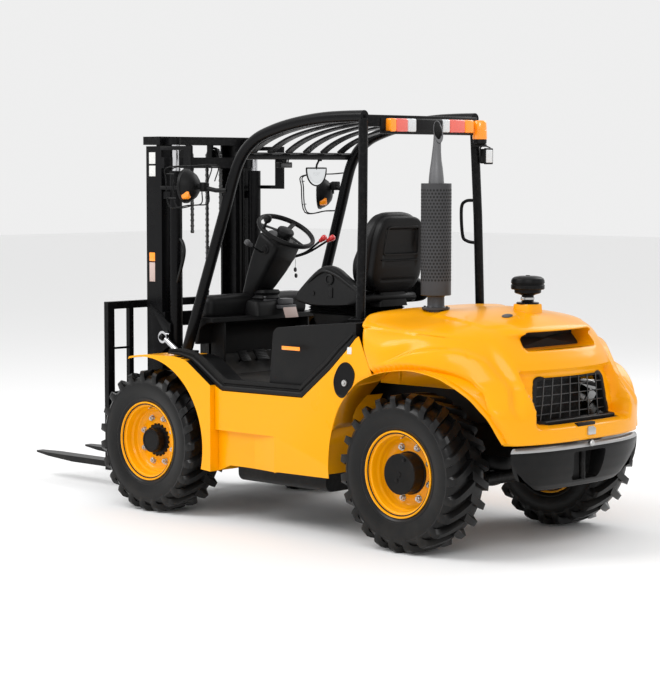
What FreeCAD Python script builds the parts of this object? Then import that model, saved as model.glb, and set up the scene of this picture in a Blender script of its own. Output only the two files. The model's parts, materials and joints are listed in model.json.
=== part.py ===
import FreeCAD, Part
import math
import os

# Rough terrain forklift: two-stage mast, four driven wheels, steered rear axle, tilting engine hood.
# Millimetres. X points to the vehicle's left, Y to its rear, Z up. Lengths along the vehicle are
# counted from the rear axle (front is negative), and save() moves every piece so that the origin
# is the centre of the whole vehicle on the ground.

Vec = FreeCAD.Vector
os.makedirs("parts", exist_ok=True)

# ---- driving dimensions ----
wheelbase = 1850.0
tyreRadius = 385.0
tyreWidth = 264.0
frontTrackHalf = 558.0
rearTrackHalf = 583.0
rimFlangeRadius = 214.0
beadRadius = 195.0
rimHalfWidth = 120.0
forkLength = 1070.0
forkGap = 280.0            # clear space between the two forks
forkWidth = 100.0
forkThickness = 35.0
forkGround = 120.0         # underside of the blades above the ground, as parked
tailReach = 630.0          # rear axle to the back of the counterweight
mastTop = 2035.0
mastFront = -wheelbase - 353.0
railDepth = 126.0
liftStroke = 1500.0
roofTop = 2150.0
panelWall = 5.0

# ---- clearances ----
seat = 0.3                 # between pieces that are fastened to each other
runClear = 0.05            # radial, shaft in its bore
moveGap = 6.0              # between pieces that pass each other

axleZ = tyreRadius
frontAxleY = -wheelbase
mastRear = mastFront + railDepth
forkFaceY = mastFront - 107.0
forkTipY = forkFaceY - forkLength
hingeKnuckle = 13.0        # radius of the hood hinge at the tail
hingeY = tailReach + 14.0
shiftY = -(forkTipY + hingeY + hingeKnuckle) / 2

pieces = {}


# ---- shape helpers ----
def save(name, *solids):
    """Collect the solids of one node."""
    shape = solids[0] if len(solids) == 1 else Part.makeCompound(list(solids))
    pieces[name] = shape.translated(Vec(0, shiftY, 0))


def box(x0, x1, y0, y1, z0, z1):
    return Part.makeBox(x1 - x0, y1 - y0, z1 - z0, Vec(x0, y0, z0))


def rod(start, end, radius):
    a, b = Vec(*start), Vec(*end)
    return Part.makeCylinder(radius, (b - a).Length, a, b - a)


def cone(start, end, r0, r1):
    a, b = Vec(*start), Vec(*end)
    return Part.makeCone(r0, r1, (b - a).Length, a, b - a)


def mirror(shape):
    return shape.mirror(Vec(0, 0, 0), Vec(1, 0, 0))


def both(shape):
    return [shape, mirror(shape)]


def outline(points, close=True):
    """Wire through 3-D points; a point given as ('arc', mid, end) is an arc, ('curve', [...]) a spline."""
    edges, here, first = [], None, None
    for p in points:
        if p[0] == "arc":
            edges.append(Part.Arc(here, p[1], p[2]).toShape())
            here = p[2]
        elif p[0] == "curve":
            curve = Part.BSplineCurve()
            curve.interpolate([here] + list(p[1]))
            edges.append(curve.toShape())
            here = p[1][-1]
        else:
            p = p[1]
            if here is not None:
                edges.append(Part.makeLine(here, p))
            else:
                first = p
            here = p
    if close and (here - first).Length > 1e-6:
        edges.append(Part.makeLine(here, first))
    return Part.Wire(edges)


def at(place, points):
    """Turn 2-D outline items into 3-D with place(a, b)."""
    items = []
    for p in points:
        if p[0] == "arc":
            items.append(("arc", place(*p[1]), place(*p[2])))
        elif p[0] == "curve":
            items.append(("curve", [place(*q) for q in p[1]]))
        else:
            items.append(("point", place(*p)))
    return items


def sideFace(x, points):
    return Part.Face(outline(at(lambda y, z: Vec(x, y, z), points)))


def sidePlate(x0, x1, points):
    """Outline in the Y-Z plane, extruded from x0 to x1."""
    return sideFace(x0, points).extrude(Vec(x1 - x0, 0, 0))


def frontPlate(y0, y1, points):
    """Outline in the X-Z plane, extruded from y0 to y1."""
    face = Part.Face(outline(at(lambda x, z: Vec(x, y0, z), points)))
    return face.extrude(Vec(0, y1 - y0, 0))


def topPlate(z0, z1, points):
    """Outline in the X-Y plane, extruded from z0 to z1."""
    face = Part.Face(outline(at(lambda x, y: Vec(x, y, z0), points)))
    return face.extrude(Vec(0, 0, z1 - z0))


def spun(points, centre, side):
    """Profile (offset outward along X, radius) turned about the X axis through centre."""
    cx, cy, cz = centre
    face = Part.Face(outline(at(lambda a, r: Vec(cx + side * a, cy, cz + r), points)))
    return face.revolve(Vec(cx, cy, cz), Vec(1, 0, 0), 360)


def bentTube(points, radius, bend):
    """Round bar along straight runs joined by arcs of radius bend."""
    pts = [Vec(*p) for p in points]
    edges, here = [], pts[0]
    for before, corner, after in zip(pts, pts[1:], pts[2:]):
        u = (before - corner).normalize()
        v = (after - corner).normalize()
        half = u.getAngle(v) / 2
        back = bend / math.tan(half)
        start, end = corner + u * back, corner + v * back
        middle = (u + v).normalize()
        top = corner + middle * (bend / math.sin(half) - bend)
        edges.append(Part.makeLine(here, start))
        edges.append(Part.Arc(start, top, end).toShape())
        here = end
    edges.append(Part.makeLine(here, pts[-1]))
    path = Part.Wire(edges)
    ring = Part.Wire(Part.makeCircle(radius, pts[0], pts[1] - pts[0]))
    return path.makePipeShell([ring], True, False)


def fuse(first, *rest):
    return first.multiFuse(list(rest)).removeSplitter()


# ---- wheels ----
spindleRadius = 35.0
spindleReach = 50.0
discThickness = 10.0
brakeRadius = 130.0


def tyre(x, y, side):
    w = tyreWidth / 2
    bead = rimHalfWidth - 8 - seat
    toe = bead - 24
    foot = beadRadius + seat
    shoulder = tyreRadius - 15
    belly = (tyreRadius + beadRadius) / 2
    points = [
        (toe, foot), (bead, foot), (bead, rimFlangeRadius),
        ("arc", (w, belly), (w - 10, shoulder)),
        ("arc", (0, tyreRadius), (-w + 10, shoulder)),
        ("arc", (-w, belly), (-bead, rimFlangeRadius)),
        (-bead, foot), (-toe, foot), (-toe, foot + 20),
        ("arc", (-w + 14, belly), (-w + 30, shoulder - 26)),
        ("arc", (0, tyreRadius - 30), (w - 30, shoulder - 26)),
        ("arc", (w - 14, belly), (toe, foot + 20)),
    ]
    return spun(points, (x, y, axleZ), side)


def rim(x, y, side, discOffset, capRadius, capReach, collarRadius, collarReach):
    """Drop-centre rim, its disc and the hub drum in front of it, bored for the spindle."""
    f, b, wall, drop = rimFlangeRadius, beadRadius, 8.0, 25.0
    w, well = rimHalfWidth, 45.0
    barrel = [
        (w, f), (w - wall, f), (w - wall, b), (well + drop, b - 2), (well, b - drop),
        (-well, b - drop), (-well - drop, b - 2), (-w + wall, b), (-w + wall, f), (-w, f),
        (-w, b - wall), (-well - drop - 2, b - wall - 2), (-well - 3, b - drop - wall),
        (well + 3, b - drop - wall), (well + drop + 2, b - wall - 2), (w, b - wall),
    ]
    solid = spun(barrel, (x, y, axleZ), side)
    d0 = discOffset - discThickness / 2
    d1 = d0 + discThickness
    disc = [(d0, 0), (d0, b - drop - wall / 2), (d1, b - drop - wall / 2), (d1, 0)]
    cap = [(d0 + 1, 0), (d0 + 1, collarRadius), (collarReach, collarRadius), (collarReach, capRadius),
           (capReach - 6, capRadius), (capReach, capRadius - 6), (capReach, 0)]
    solid = fuse(solid, spun(disc, (x, y, axleZ), side), spun(cap, (x, y, axleZ), side))
    inner = x + side * (d0 - 1)
    bore = rod((inner, y, axleZ), (inner + side * (spindleReach + 6), y, axleZ), spindleRadius + runClear)
    return solid.cut(bore)


frontDisc, rearDisc = 22.0, 17.0
for name, side in (("left", 1), ("right", -1)):
    save("tyre_front_" + name, tyre(side * frontTrackHalf, frontAxleY, side))
    save("tyre_rear_" + name, tyre(side * rearTrackHalf, 0, side))
    save("rim_front_" + name, rim(side * frontTrackHalf, frontAxleY, side, frontDisc, 65, 92, 93, 44))
    save("rim_rear_" + name, rim(side * rearTrackHalf, 0, side, rearDisc, 100, 107, 104, 34))


def spindle(track, y, disc, brakeInner, side=1):
    """Brake drum and stub shaft that carry one wheel."""
    face = track + disc - discThickness / 2
    drum = rod((side * brakeInner, y, axleZ), (side * (face - 8), y, axleZ), brakeRadius)
    stub = rod((side * brakeInner, y, axleZ), (side * (face + spindleReach), y, axleZ), spindleRadius)
    return [drum, stub]


# ---- axles ----
railInner, railOuter = 165.0, 215.0
railMiddle = (railInner + railOuter) / 2
railBottom, railHeight = 450.0, 150.0


def frontAxle():
    half = frontTrackHalf - rimHalfWidth
    tube = rod((-half, frontAxleY, axleZ), (half, frontAxleY, axleZ), 62)
    bulge = Part.makeSphere(135, Vec(0, frontAxleY, axleZ))
    nose = cone((0, frontAxleY, axleZ), (0, frontAxleY + 260, axleZ + 20), 95, 60)
    solids = [tube, bulge, nose]
    for side in (1, -1):
        solids += spindle(frontTrackHalf, frontAxleY, frontDisc, half - 6, side)
    for side in (1, -1):
        solids.append(box(side * railMiddle - 20, side * railMiddle + 20, frontAxleY - 50, frontAxleY + 50,
                          axleZ, railBottom - seat))
    return fuse(*solids)


kingpinX = rearTrackHalf - 123.0
kingpinRadius = 18.0
bossRadius = 38.0
bossHalf = 70.0
earThickness = 28.0
steerArm = 115.0           # from the kingpin back to the tie rod
armX = kingpinX - 20.0
steerRodZ = axleZ - 65.0
steerRodRadius = 16.0
cradleHalf = 45.0          # half length of the block that carries the rear axle


def rearAxle():
    tube = rod((-kingpinX, 0, axleZ), (kingpinX, 0, axleZ), 52)
    bulge = Part.makeSphere(128, Vec(0, 0, axleZ))
    nose = cone((0, 0, axleZ), (0, -250, axleZ + 20), 90, 60)
    solids = [tube, bulge, nose]
    for side in (1, -1):
        x = side * kingpinX
        solids.append(rod((x, 0, axleZ - bossHalf), (x, 0, axleZ + bossHalf), bossRadius))
        solids.append(rod((side * 60, steerArm, steerRodZ), (side * 190, steerArm, steerRodZ), 34))
        solids.append(box(side * 125 - 15, side * 125 + 15, 20, steerArm, steerRodZ - 20, steerRodZ + 40))
    solids.append(rod((-60, steerArm, steerRodZ), (60, steerArm, steerRodZ), 34))
    solids.append(box(-70, 70, -cradleHalf, cradleHalf, axleZ + 60, railBottom + 110))
    solid = fuse(*solids)
    for side in (1, -1):
        x = side * kingpinX
        solid = solid.cut(rod((x, 0, axleZ - 200), (x, 0, axleZ + 200), kingpinRadius + runClear))
    return solid.cut(rod((-300, steerArm, steerRodZ), (300, steerArm, steerRodZ), steerRodRadius + runClear))


def knuckle():
    """Left knuckle: two ears around the axle's boss, brake drum, stub shaft and steering arm."""
    inner = kingpinX + bossRadius + 9
    low, high = bossHalf + 4, bossHalf + 4 + earThickness
    web = box(inner, inner + 18, -62, 62, axleZ - high, axleZ + high)
    solids = [web] + spindle(rearTrackHalf, 0, rearDisc, inner + 4)
    for sign in (1, -1):
        z0, z1 = sorted((axleZ + sign * low, axleZ + sign * high))
        ear = box(kingpinX, inner + 4, -36, 36, z0, z1)
        nose = rod((kingpinX, 0, z0), (kingpinX, 0, z1), 36)
        pin = rod((kingpinX, 0, axleZ + sign * 20), (kingpinX, 0, axleZ + sign * high), kingpinRadius)
        solids += [ear, nose, pin]
    arm = topPlate(axleZ - high, axleZ - high + 16, [
        (kingpinX + 26, -20), (kingpinX - 30, -10), (armX - 24, steerArm),
        ("arc", (armX, steerArm + 24), (armX + 24, steerArm)), (kingpinX + 34, 20)])
    return fuse(*(solids + [arm]))


# ---- chassis ----
counterFront = 540.0
pivotY, pivotZ = mastRear + 47.0, 420.0
pivotRadius = 20.0
earInner, earOuter = railOuter + 26.0, railOuter + 47.0
tiltX = 385.0              # half distance between the two tilt cylinders
tiltFrontY, tiltFrontZ = mastRear + 47.0, 925.0
tiltRearY, tiltRearZ = frontAxleY + 430.0, 530.0
tiltPinRadius = 14.0
tiltRearPin = 18.0
floorZ = 735.0
floorWall = 8.0
floorFront = frontAxleY + 230.0
deckFront, deckRear = -955.0, -345.0
deckTop = 1097.0
deckNose = deckFront + 72.0
deckFall = 47.0            # how much lower the deck's front edge is than its rear
engineHalf, engineTop = 200.0, 1010.0
bodyHalf = 660.0           # outer face of the side panels
outriggerZ = 640.0
seamY = frontAxleY + 521.0     # joint between the front fender and the side panel


def deckTopAt(y):
    return deckTop - deckFall * (deckRear - 40 - y) / (deckRear - 40 - deckNose)


def chassis():
    top = railBottom + railHeight
    front = frontAxleY - 90
    solids = []
    for side in (1, -1):
        x0, x1 = sorted((side * railInner, side * railOuter))
        solids.append(box(x0, x1, front, counterFront - seat, railBottom, top))
        b0, b1 = sorted((side * (railOuter - 5), side * (earInner - moveGap)))
        lug = sidePlate(b0, b1, [(frontAxleY + 180, top), (frontAxleY - 120, top), (pivotY - 34, pivotZ + 10),
                                 ("arc", (pivotY, pivotZ - 34), (pivotY + 34, pivotZ - 6)),
                                 (pivotY + 60, railBottom + 3), (frontAxleY + 180, railBottom + 3)])
        solids.append(lug)
        solids.append(rod((side * (railOuter + 4), pivotY, pivotZ), (side * (earOuter + 3), pivotY, pivotZ),
                          pivotRadius))
        t0, t1 = sorted((side * (railOuter - 5), side * (tiltX - 36)))
        solids.append(box(t0, t1, tiltRearY - 40, tiltRearY + 40, tiltRearZ - 40, tiltRearZ + 40))
        pin = [(side * x, tiltRearY, tiltRearZ) for x in (tiltX - 40, tiltX + 34)]
        solids.append(rod(*pin, tiltRearPin))
        o0, o1 = sorted((side * (railOuter - 10), side * (bodyHalf - panelWall - seat)))
        for y in (seamY + seat + 30, deckFront + 60, -560):
            solids.append(box(o0, o1, y - 30, y + 30, outriggerZ - 60, outriggerZ))
        r0, r1 = sorted((side * (bodyHalf - 70), side * (bodyHalf - 30 - seat)))
        solids.append(box(r0, r1, frontAxleY + 530, -520, outriggerZ - 60, floorZ - floorWall - seat))
    for y, low in ((front + 40, 80), (frontAxleY + 440, 20), (-700, 20), (-cradleHalf - seat - 30, 70),
                   (cradleHalf + seat + 30, 70), (counterFront - 160, 20)):
        solids.append(box(-railInner - 4, railInner + 4, y - 30, y + 30, railBottom + low, top - 20))
    return fuse(*solids)


def sideTanks():
    """Fuel tank on the left and hydraulic tank on the right, between the wheels."""
    tank = box(railOuter + seat + 20, bodyHalf - 62, -1215, -575, 225, outriggerZ - 60 - seat)
    tank = tank.makeFillet(45, [e for e in tank.Edges if abs(e.tangentAt(e.FirstParameter).y) > 0.9
                                and e.CenterOfMass.z < 300])
    hanger = box(railOuter + seat, railOuter + 40, -1150, -640, railBottom + 20, railBottom + 90)
    return both(fuse(tank, hanger))


# ---- counterweight ----
counterBottom, counterTop = 315.0, 537.0
tailSpread = 720.0         # half width of the tail's rounded plan at the rear axle
tailPower = 2.9            # how square that plan is; 2 is an ellipse
pocketHalf, pocketLow, pocketHigh, pocketDepth = 130.0, 353.0, 497.0, 110.0
towPinRadius = 16.0
hingeZ = counterTop + 22.0
hingePin = 6.0
hoodBottom = counterTop + 14.0


def tailPlan(spread, reach, front, power=tailPower, steps=13):
    """Rounded plan of the tail behind front, from the left side round to the right side."""
    a0 = math.asin((front / reach) ** (power / 2))
    points = []
    for i in range(steps):
        a = a0 + (math.pi - 2 * a0) * i / (steps - 1)
        c, s = math.cos(a), max(0.0, math.sin(a))
        points.append((math.copysign(spread * abs(c) ** (2 / power), c), reach * s ** (2 / power)))
    return [points[0], ("curve", points[1:])]


def counterweight():
    bevel = 14.0
    wires = []
    for inset, z in ((0, counterTop - bevel), (bevel, counterTop)):
        plan = tailPlan(tailSpread - inset, tailReach - inset, counterFront)
        wires.append(outline(at(lambda x, y: Vec(x, y, z), plan)))
    top = Part.makeLoft(wires, True, True)
    solid = topPlate(counterBottom, counterTop - bevel, tailPlan(tailSpread, tailReach, counterFront))
    solid = fuse(solid, top)
    flank = 90.0
    half = tailPlan(tailSpread, tailReach, counterFront)[0][0]
    trim = frontPlate(counterFront - 5, tailReach + 50, [
        (half + 5, counterTop - 60), (half + 5, counterBottom - 5), (half - flank, counterBottom - 5)])
    solid = solid.cut(fuse(*both(trim)))
    root = box(-railInner + seat, railInner - seat, counterFront - 110, counterFront + 5, counterBottom,
               counterTop - bevel)
    solid = fuse(solid, root)
    pocket = frontPlate(tailReach - pocketDepth, tailReach + 50, [
        (-pocketHalf, pocketHigh), (pocketHalf, pocketHigh), (pocketHalf - 25, pocketLow),
        (-pocketHalf + 25, pocketLow)])
    solid = solid.cut(pocket)
    solid = solid.cut(rod((0, tailReach - 50, 0), (0, tailReach - 50, 1000), towPinRadius))
    for side in (1, -1):
        x0, x1 = sorted((side * 29, side * 43))
        ear = rod((x0, hingeY, hingeZ), (x1, hingeY, hingeZ), hingeKnuckle)
        foot = box(x0, x1, hingeY - 30, hingeY + hingeKnuckle, counterTop - 46, hoodBottom - 4)
        riser = box(x0, x1, hingeY - 7, hingeY + hingeKnuckle, counterTop - 20, hingeZ)
        solid = fuse(solid, ear, foot, riser)
    pin = rod((-40, hingeY, hingeZ), (40, hingeY, hingeZ), hingePin)
    return fuse(solid, pin)


# ---- engine and cooler ----
def engineBlock():
    return box(-engineHalf, engineHalf, -880, 180, railBottom + railHeight + seat, engineTop)


def radiator():
    core = box(-245, 245, 310, 380, railBottom + railHeight + seat, 940)
    shroud = frontPlate(250, 310, [(-215, 640), (215, 640), (215, 960), (-215, 960)])
    fan = rod((0, 240, 800), (0, 320, 800), 190)
    return fuse(core, shroud.cut(rod((0, 240, 800), (0, 300, 800), 200)),
                rod((0, 181, 800), (0, 312, 800), 40), fan.cut(rod((0, 230, 800), (0, 262, 800), 195)))


# ---- front fenders and side panels ----
fenderOuter, fenderInner = 692.0, 440.0
frontArchRadius = 460.0
fenderTopZ = 856.0
sillBottom = 270.0


def archPoint(radius, z, sign=1):
    """Point of the front arch circle at height z."""
    return (frontAxleY + sign * math.sqrt(radius ** 2 - (z - axleZ) ** 2), z)


def frontFender():
    """Left front fender: a 5 mm skin over the tyre, open below and towards the frame."""
    toe = archPoint(frontArchRadius, 826, -1)
    heel = archPoint(frontArchRadius, sillBottom + 6)
    outer = sidePlate(fenderInner, fenderOuter, [
        toe, ("arc", (frontAxleY + frontArchRadius * math.cos(math.radians(45)),
                      axleZ + frontArchRadius * math.sin(math.radians(45))), heel),
        (seamY, sillBottom), (seamY, 726), (frontAxleY + 345, 838),
        ("curve", [(frontAxleY + 260, fenderTopZ + 3), (frontAxleY + 150, fenderTopZ + 4),
                   (frontAxleY + 20, fenderTopZ + 1), (frontAxleY - 122, 840)])])
    hollow = sidePlate(fenderInner - 5, fenderOuter - panelWall, [
        archPoint(frontArchRadius - 60, 700, -1), archPoint(frontArchRadius + 6, 828, -1),
        (frontAxleY - 60, 838), (frontAxleY + 60, 843),
        ("curve", [(frontAxleY + 160, 848), (frontAxleY + 250, 845), (frontAxleY + 335, 826)]),
        (seamY - panelWall, 722), (seamY - panelWall, sillBottom - 20), (frontAxleY + 300, sillBottom - 20),
        (frontAxleY, sillBottom + 200)])
    return outer.cut(hollow)


rearArchLip = [(-500, 300), (-503, 400), (-470, 584), (-422, 688), (-354, 763), (-293, 812), (-206, 848),
               (-64, 880), (69, 891), (196, 875), (316, 835), (405, 768), (469, 679), (502, 598), (525, 540)]
seamFoot = -206.0          # where the seam between panel and hood meets the arch
seamTop, seamLow = (-359.0, 1180.0), (-182.0, 812.0)
hoodGap = 7.0
sillTrimLine = [(-1326, 726), (-1273, 698), (-686, 704), (-490, 858), (-353, 985), (-318, 1022)]


def seamAt(z, offset=0.0):
    t = (z - seamLow[1]) / (seamTop[1] - seamLow[1])
    return (seamLow[0] + (seamTop[0] - seamLow[0]) * t + offset, z)


def sidePanel():
    """Left side panel: flat skin with a rolled arch edge and a shelf along its front half."""
    front = seamY + seat + 1
    lip = [p for p in rearArchLip if p[0] <= seamFoot]
    skinLine = [(front, sillBottom), (-1237, 306), (lip[0][0], 312), ("curve", lip[1:]),
                seamAt(1036, -hoodGap)] + [(y, z) for y, z in reversed(sillTrimLine)]
    skinLine[-1] = (front, 722)
    skin = sidePlate(bodyHalf - panelWall, bodyHalf, skinLine)
    recess = sidePlate(bodyHalf - 30, bodyHalf - 30 + panelWall,
                       [(front, sillBottom), (-1237, 306), (-882, 310), (-882, 500), (front, 500)])
    skin = skin.cut(box(bodyHalf - 50, bodyHalf + 50, front - 5, -882 - panelWall, 200, 490))
    shelf = box(bodyHalf - 30, bodyHalf, front, -882, 490, 490 + panelWall)
    step = sidePlate(bodyHalf - 30, bodyHalf, [(-882 - panelWall, 303), (-882, 303), (-882, 495),
                                               (-882 - panelWall, 495)])
    inner = [(-513, 330), (-515, 450), (-500, 560), (-470, 650), (-432, 720)]
    outerLine = [(y - panelWall, z) for y, z in inner]
    liner = sidePlate(330, bodyHalf - 2, [inner[0], ("curve", inner[1:]), outerLine[-1],
                                          ("curve", list(reversed(outerLine))[1:])])
    return fuse(skin, recess, shelf, step, liner)


def sillTrims():
    """Black trim round the foot of the operator's doorway, on the edges of the panels."""
    thick, rise = 24.0, 2.85
    front = [(-1690, 866), (-1600, 862), (-1505, 839)]
    line = [(y, z + rise) for y, z in front + sillTrimLine]
    upper = [(y + (6 if y > -600 else 0), z + thick) for y, z in line]
    strip = sidePlate(bodyHalf - 28, bodyHalf + 4, upper + list(reversed(line)))
    return both(strip)


def floorPlate():
    wide, narrow = bodyHalf - 30, fenderInner - 8
    plate = fuse(box(-wide, wide, seamY + 2, deckFront - seat, floorZ - floorWall, floorZ),
                 box(-narrow, narrow, floorFront, seamY + 10, floorZ - floorWall, floorZ))
    toe = sidePlate(-330, 330, [(floorFront, floorZ), (floorFront, floorZ - floorWall),
                                (floorFront - 90, floorZ + 100), (floorFront - 90, floorZ + 106),
                                (floorFront - 84, floorZ + 106)])
    return fuse(plate, toe)


def seatDeck():
    """Steel box under the seat, over the engine, with its two moulded side covers."""
    half = bodyHalf - 34
    line = [(deckFront, floorZ + seat), (deckFront + 26, 1010),
            ("arc", (deckFront + 40, 1036), (deckNose, deckTopAt(deckNose))),
            (deckRear - 40, deckTop), (deckRear, deckTop), (deckRear, 1006), (-497, 890),
            (-690, floorZ + seat)]
    solid = sidePlate(-half, half, line)
    inner = [(deckFront + panelWall, floorZ - 20), (deckFront + panelWall + 26, 1008),
             (deckNose, deckTopAt(deckNose) - panelWall), (deckRear - 40, deckTop - panelWall),
             (deckRear - panelWall, deckTop - panelWall), (deckRear - panelWall, floorZ - 20)]
    solid = solid.cut(sidePlate(-half + panelWall, half - panelWall, inner))
    return solid.cut(box(-engineHalf - 12, engineHalf + 12, deckRear - 20, deckRear + 5, 700, engineTop + 12))


# ---- operator's place ----
columnTilt = 31.0
columnCoverHalf = 100.0
wheelCentre = (0.0, -1455.0, 1515.0)
steeringWheelRadius = 158.0
spinnerAngle = -98.0           # the spinner knob's place round the wheel, from the rear
spinnerHeight, spinnerRadius = 72.0, 21.0
columnAxis = (0.0, math.sin(math.radians(columnTilt)), math.cos(math.radians(columnTilt)))


def onColumn(distance):
    """Point on the column's axis, measured down from the steering wheel's centre."""
    return tuple(c - distance * a for c, a in zip(wheelCentre, columnAxis))


cowlTop = 1052.0


def dashCowl():
    """Moulded front cowl: a central pod below the column and two shoulders over the tilt cylinders."""
    rear = floorFront - 90
    low = floorZ + 106 + seat
    wall = sidePlate(-330, 330, [(rear - 16, low), (rear + 6, low), (rear + 14, 1035), (rear - 16, 1035)])
    shoulders = sidePlate(-428, 428, [
        (rear - 20, 905), (rear + 4, 905), (rear + 20, 985), ("arc", (rear + 70, 1020), (rear + 120, 1026)),
        (rear + 120, cowlTop), (rear - 10, cowlTop), (rear - 20, 1040)])
    return fuse(wall, shoulders)


def steeringColumn():
    cover = Part.makeBox(2 * columnCoverHalf, 150, 330)
    cover.translate(Vec(-columnCoverHalf, -92, -400))
    cover = cover.makeFillet(22, [e for e in cover.Edges if abs(e.tangentAt(e.FirstParameter).z) > 0.9])
    cover.rotate(Vec(0, 0, 0), Vec(1, 0, 0), -columnTilt)
    cover.translate(Vec(*wheelCentre))
    post = rod(onColumn(26 + seat), onColumn(520), 30)
    base = box(-120, 120, floorFront - 60, floorFront + 30, cowlTop + seat, 1130)
    return fuse(cover, post.cut(box(-400, 400, -2500, 0, 0, cowlTop + seat)), base)


def steeringWheel():
    ring = Part.makeTorus(steeringWheelRadius, 14, Vec(0, 0, 0), Vec(0, 0, 1))
    hub = Part.makeCylinder(42, 30, Vec(0, 0, -26))
    spokes = []
    for angle in (90, 210, 330):
        bar = Part.makeBox(steeringWheelRadius - 20, 22, 9, Vec(20, -11, -12))
        bar.rotate(Vec(0, 0, 0), Vec(0, 0, 1), angle)
        spokes.append(bar)
    knob = fuse(Part.makeCylinder(8, spinnerHeight - 8, Vec(0, steeringWheelRadius, 4)),
                Part.makeSphere(spinnerRadius, Vec(0, steeringWheelRadius, spinnerHeight)))
    knob.rotate(Vec(0, 0, 0), Vec(0, 0, 1), spinnerAngle)
    solid = fuse(ring, hub, knob, *spokes)
    solid.rotate(Vec(0, 0, 0), Vec(1, 0, 0), -columnTilt)
    solid.translate(Vec(*wheelCentre))
    return solid


def operatorControls():
    """Hydraulic levers, direction lever and the three pedals."""
    cover = columnCoverHalf + seat
    solids = []
    for x, reach in ((-150, 0), (-190, 22)):
        foot = (-cover - 8, -1520 + reach, 1372)
        grip = (x - 6, -1330 + reach, 1452)
        boss = rod((-cover, foot[1], foot[2]), (-cover - 16, foot[1], foot[2]), 11)
        solids.append(fuse(boss, rod(foot, grip, 7), Part.makeSphere(17, Vec(*grip))))
    boss = rod((cover, -1530, 1420), (cover + 14, -1530, 1420), 11)
    solids.append(fuse(boss, rod((cover + 8, -1530, 1420), (215, -1590, 1450), 6),
                       Part.makeSphere(15, Vec(215, -1590, 1450))))
    toe = Vec(0, 106, 84).normalize()
    for x, width in ((150, 70), (20, 90), (-110, 60)):
        root = Vec(x, floorFront - 50, floorZ + 63) + toe * seat
        top = root + toe * 44
        pad = box(-width / 2, width / 2, -36, 36, 0, 8)
        pad.rotate(Vec(0, 0, 0), Vec(1, 0, 0), -math.degrees(math.atan2(toe.y, toe.z)))
        pad.translate(top)
        solids.append(fuse(rod(tuple(root), tuple(top + toe * 4), 8), pad))
    return solids


seatCentreY = -900.0
seatBaseTop = 1150.0
backrestY = seatCentreY + 198.0


def seatBase():
    """Suspension base on the deck, the backrest's bracket and the two hip restraints."""
    base = box(-190, 190, seatCentreY - 190, seatCentreY + 170, 1104, seatBaseTop)
    base = base.makeFillet(16, [e for e in base.Edges if abs(e.tangentAt(e.FirstParameter).z) > 0.9])
    rails = []
    for x in (-150, 150):
        ends = (deckNose + 6, seatCentreY + 165)
        rails.append(sidePlate(x - 20, x + 20, [(ends[0], deckTopAt(ends[0]) + seat),
                                                (ends[1], deckTopAt(ends[1]) + seat),
                                                (ends[1], 1108), (ends[0], 1108)]))
    bracket = box(-110, 110, seatCentreY + 160, backrestY + 24, 1104, 1176)
    wing = sidePlate(232, 262, [
        (seatCentreY - 205, 1165), (seatCentreY - 195, 1215), ("curve", [(seatCentreY - 110, 1300),
         (seatCentreY - 20, 1372), (seatCentreY + 40, 1350)]),
        (seatCentreY + 150, 1255), (seatCentreY + 165, 1165)])
    tie = box(180, 240, seatCentreY - 150, seatCentreY + 120, 1125, seatBaseTop)
    arm = box(232, 262, seatCentreY - 150, seatCentreY + 120, 1125, 1170)
    return fuse(base, bracket, *(both(fuse(wing, tie, arm)) + rails))


def seatCushion():
    pad = box(-222, 222, seatCentreY - 215, seatCentreY + 134, seatBaseTop + seat, 1250)
    return pad.makeFillet(34, [e for e in pad.Edges if e.CenterOfMass.z > 1200])


def seatBackrest():
    pad = box(-210, 210, -60, 60, 0, 400)
    pad = pad.makeFillet(38, [e for e in pad.Edges if e.CenterOfMass.z > 380 or abs(
        e.tangentAt(e.FirstParameter).z) > 0.9])
    foot = box(-120, 120, -26, 20, -62, 20)
    pad = fuse(pad, foot)
    pad.rotate(Vec(0, 0, 0), Vec(1, 0, 0), -9)
    pad.translate(Vec(0, backrestY, 1232))
    pad = pad.cut(box(-400, 400, backrestY - 300, backrestY + 300, 1000, 1176 + seat))
    return pad


# ---- overhead guard ----
guardFootHalf, guardRoofHalf = 478.0, 430.0
guardTube = 30.0
rearPostY = -478.0


def leaned(z):
    """Half width of the guard at height z."""
    t = (z - 860) / (roofTop - guardTube - 860)
    return guardFootHalf + (guardRoofHalf - guardFootHalf) * t


roofLine = [(-1741, 874), (-1368, 1905), (-1150, 2030), (-760, roofTop - 34), (-470, roofTop - guardTube)]


def guardSide():
    """Left side frame: one bent tube from the front foot over the roof, and the rear post."""
    tube = bentTube([(leaned(z), y, z) for y, z in roofLine[:2]] +
                    [(leaned(z), y, z) for y, z in roofLine[2:]], guardTube, 330)
    post = bentTube([(leaned(roofTop - 40), rearPostY, roofTop - 40), (leaned(1600), rearPostY + 14, 1600),
                     (leaned(deckTop), rearPostY + 16, deckTop + 4)], 24, 900)
    shoe = box(leaned(deckTop) - 40, leaned(deckTop) + 40, rearPostY - 30, rearPostY + 62,
               deckTop + seat, deckTop + 10)
    foot = box(leaned(862) - 45, leaned(862) + 38, -1800, -1690, fenderTopZ + 4.6, fenderTopZ + 18)
    return fuse(tube, post, shoe, foot)


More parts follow.
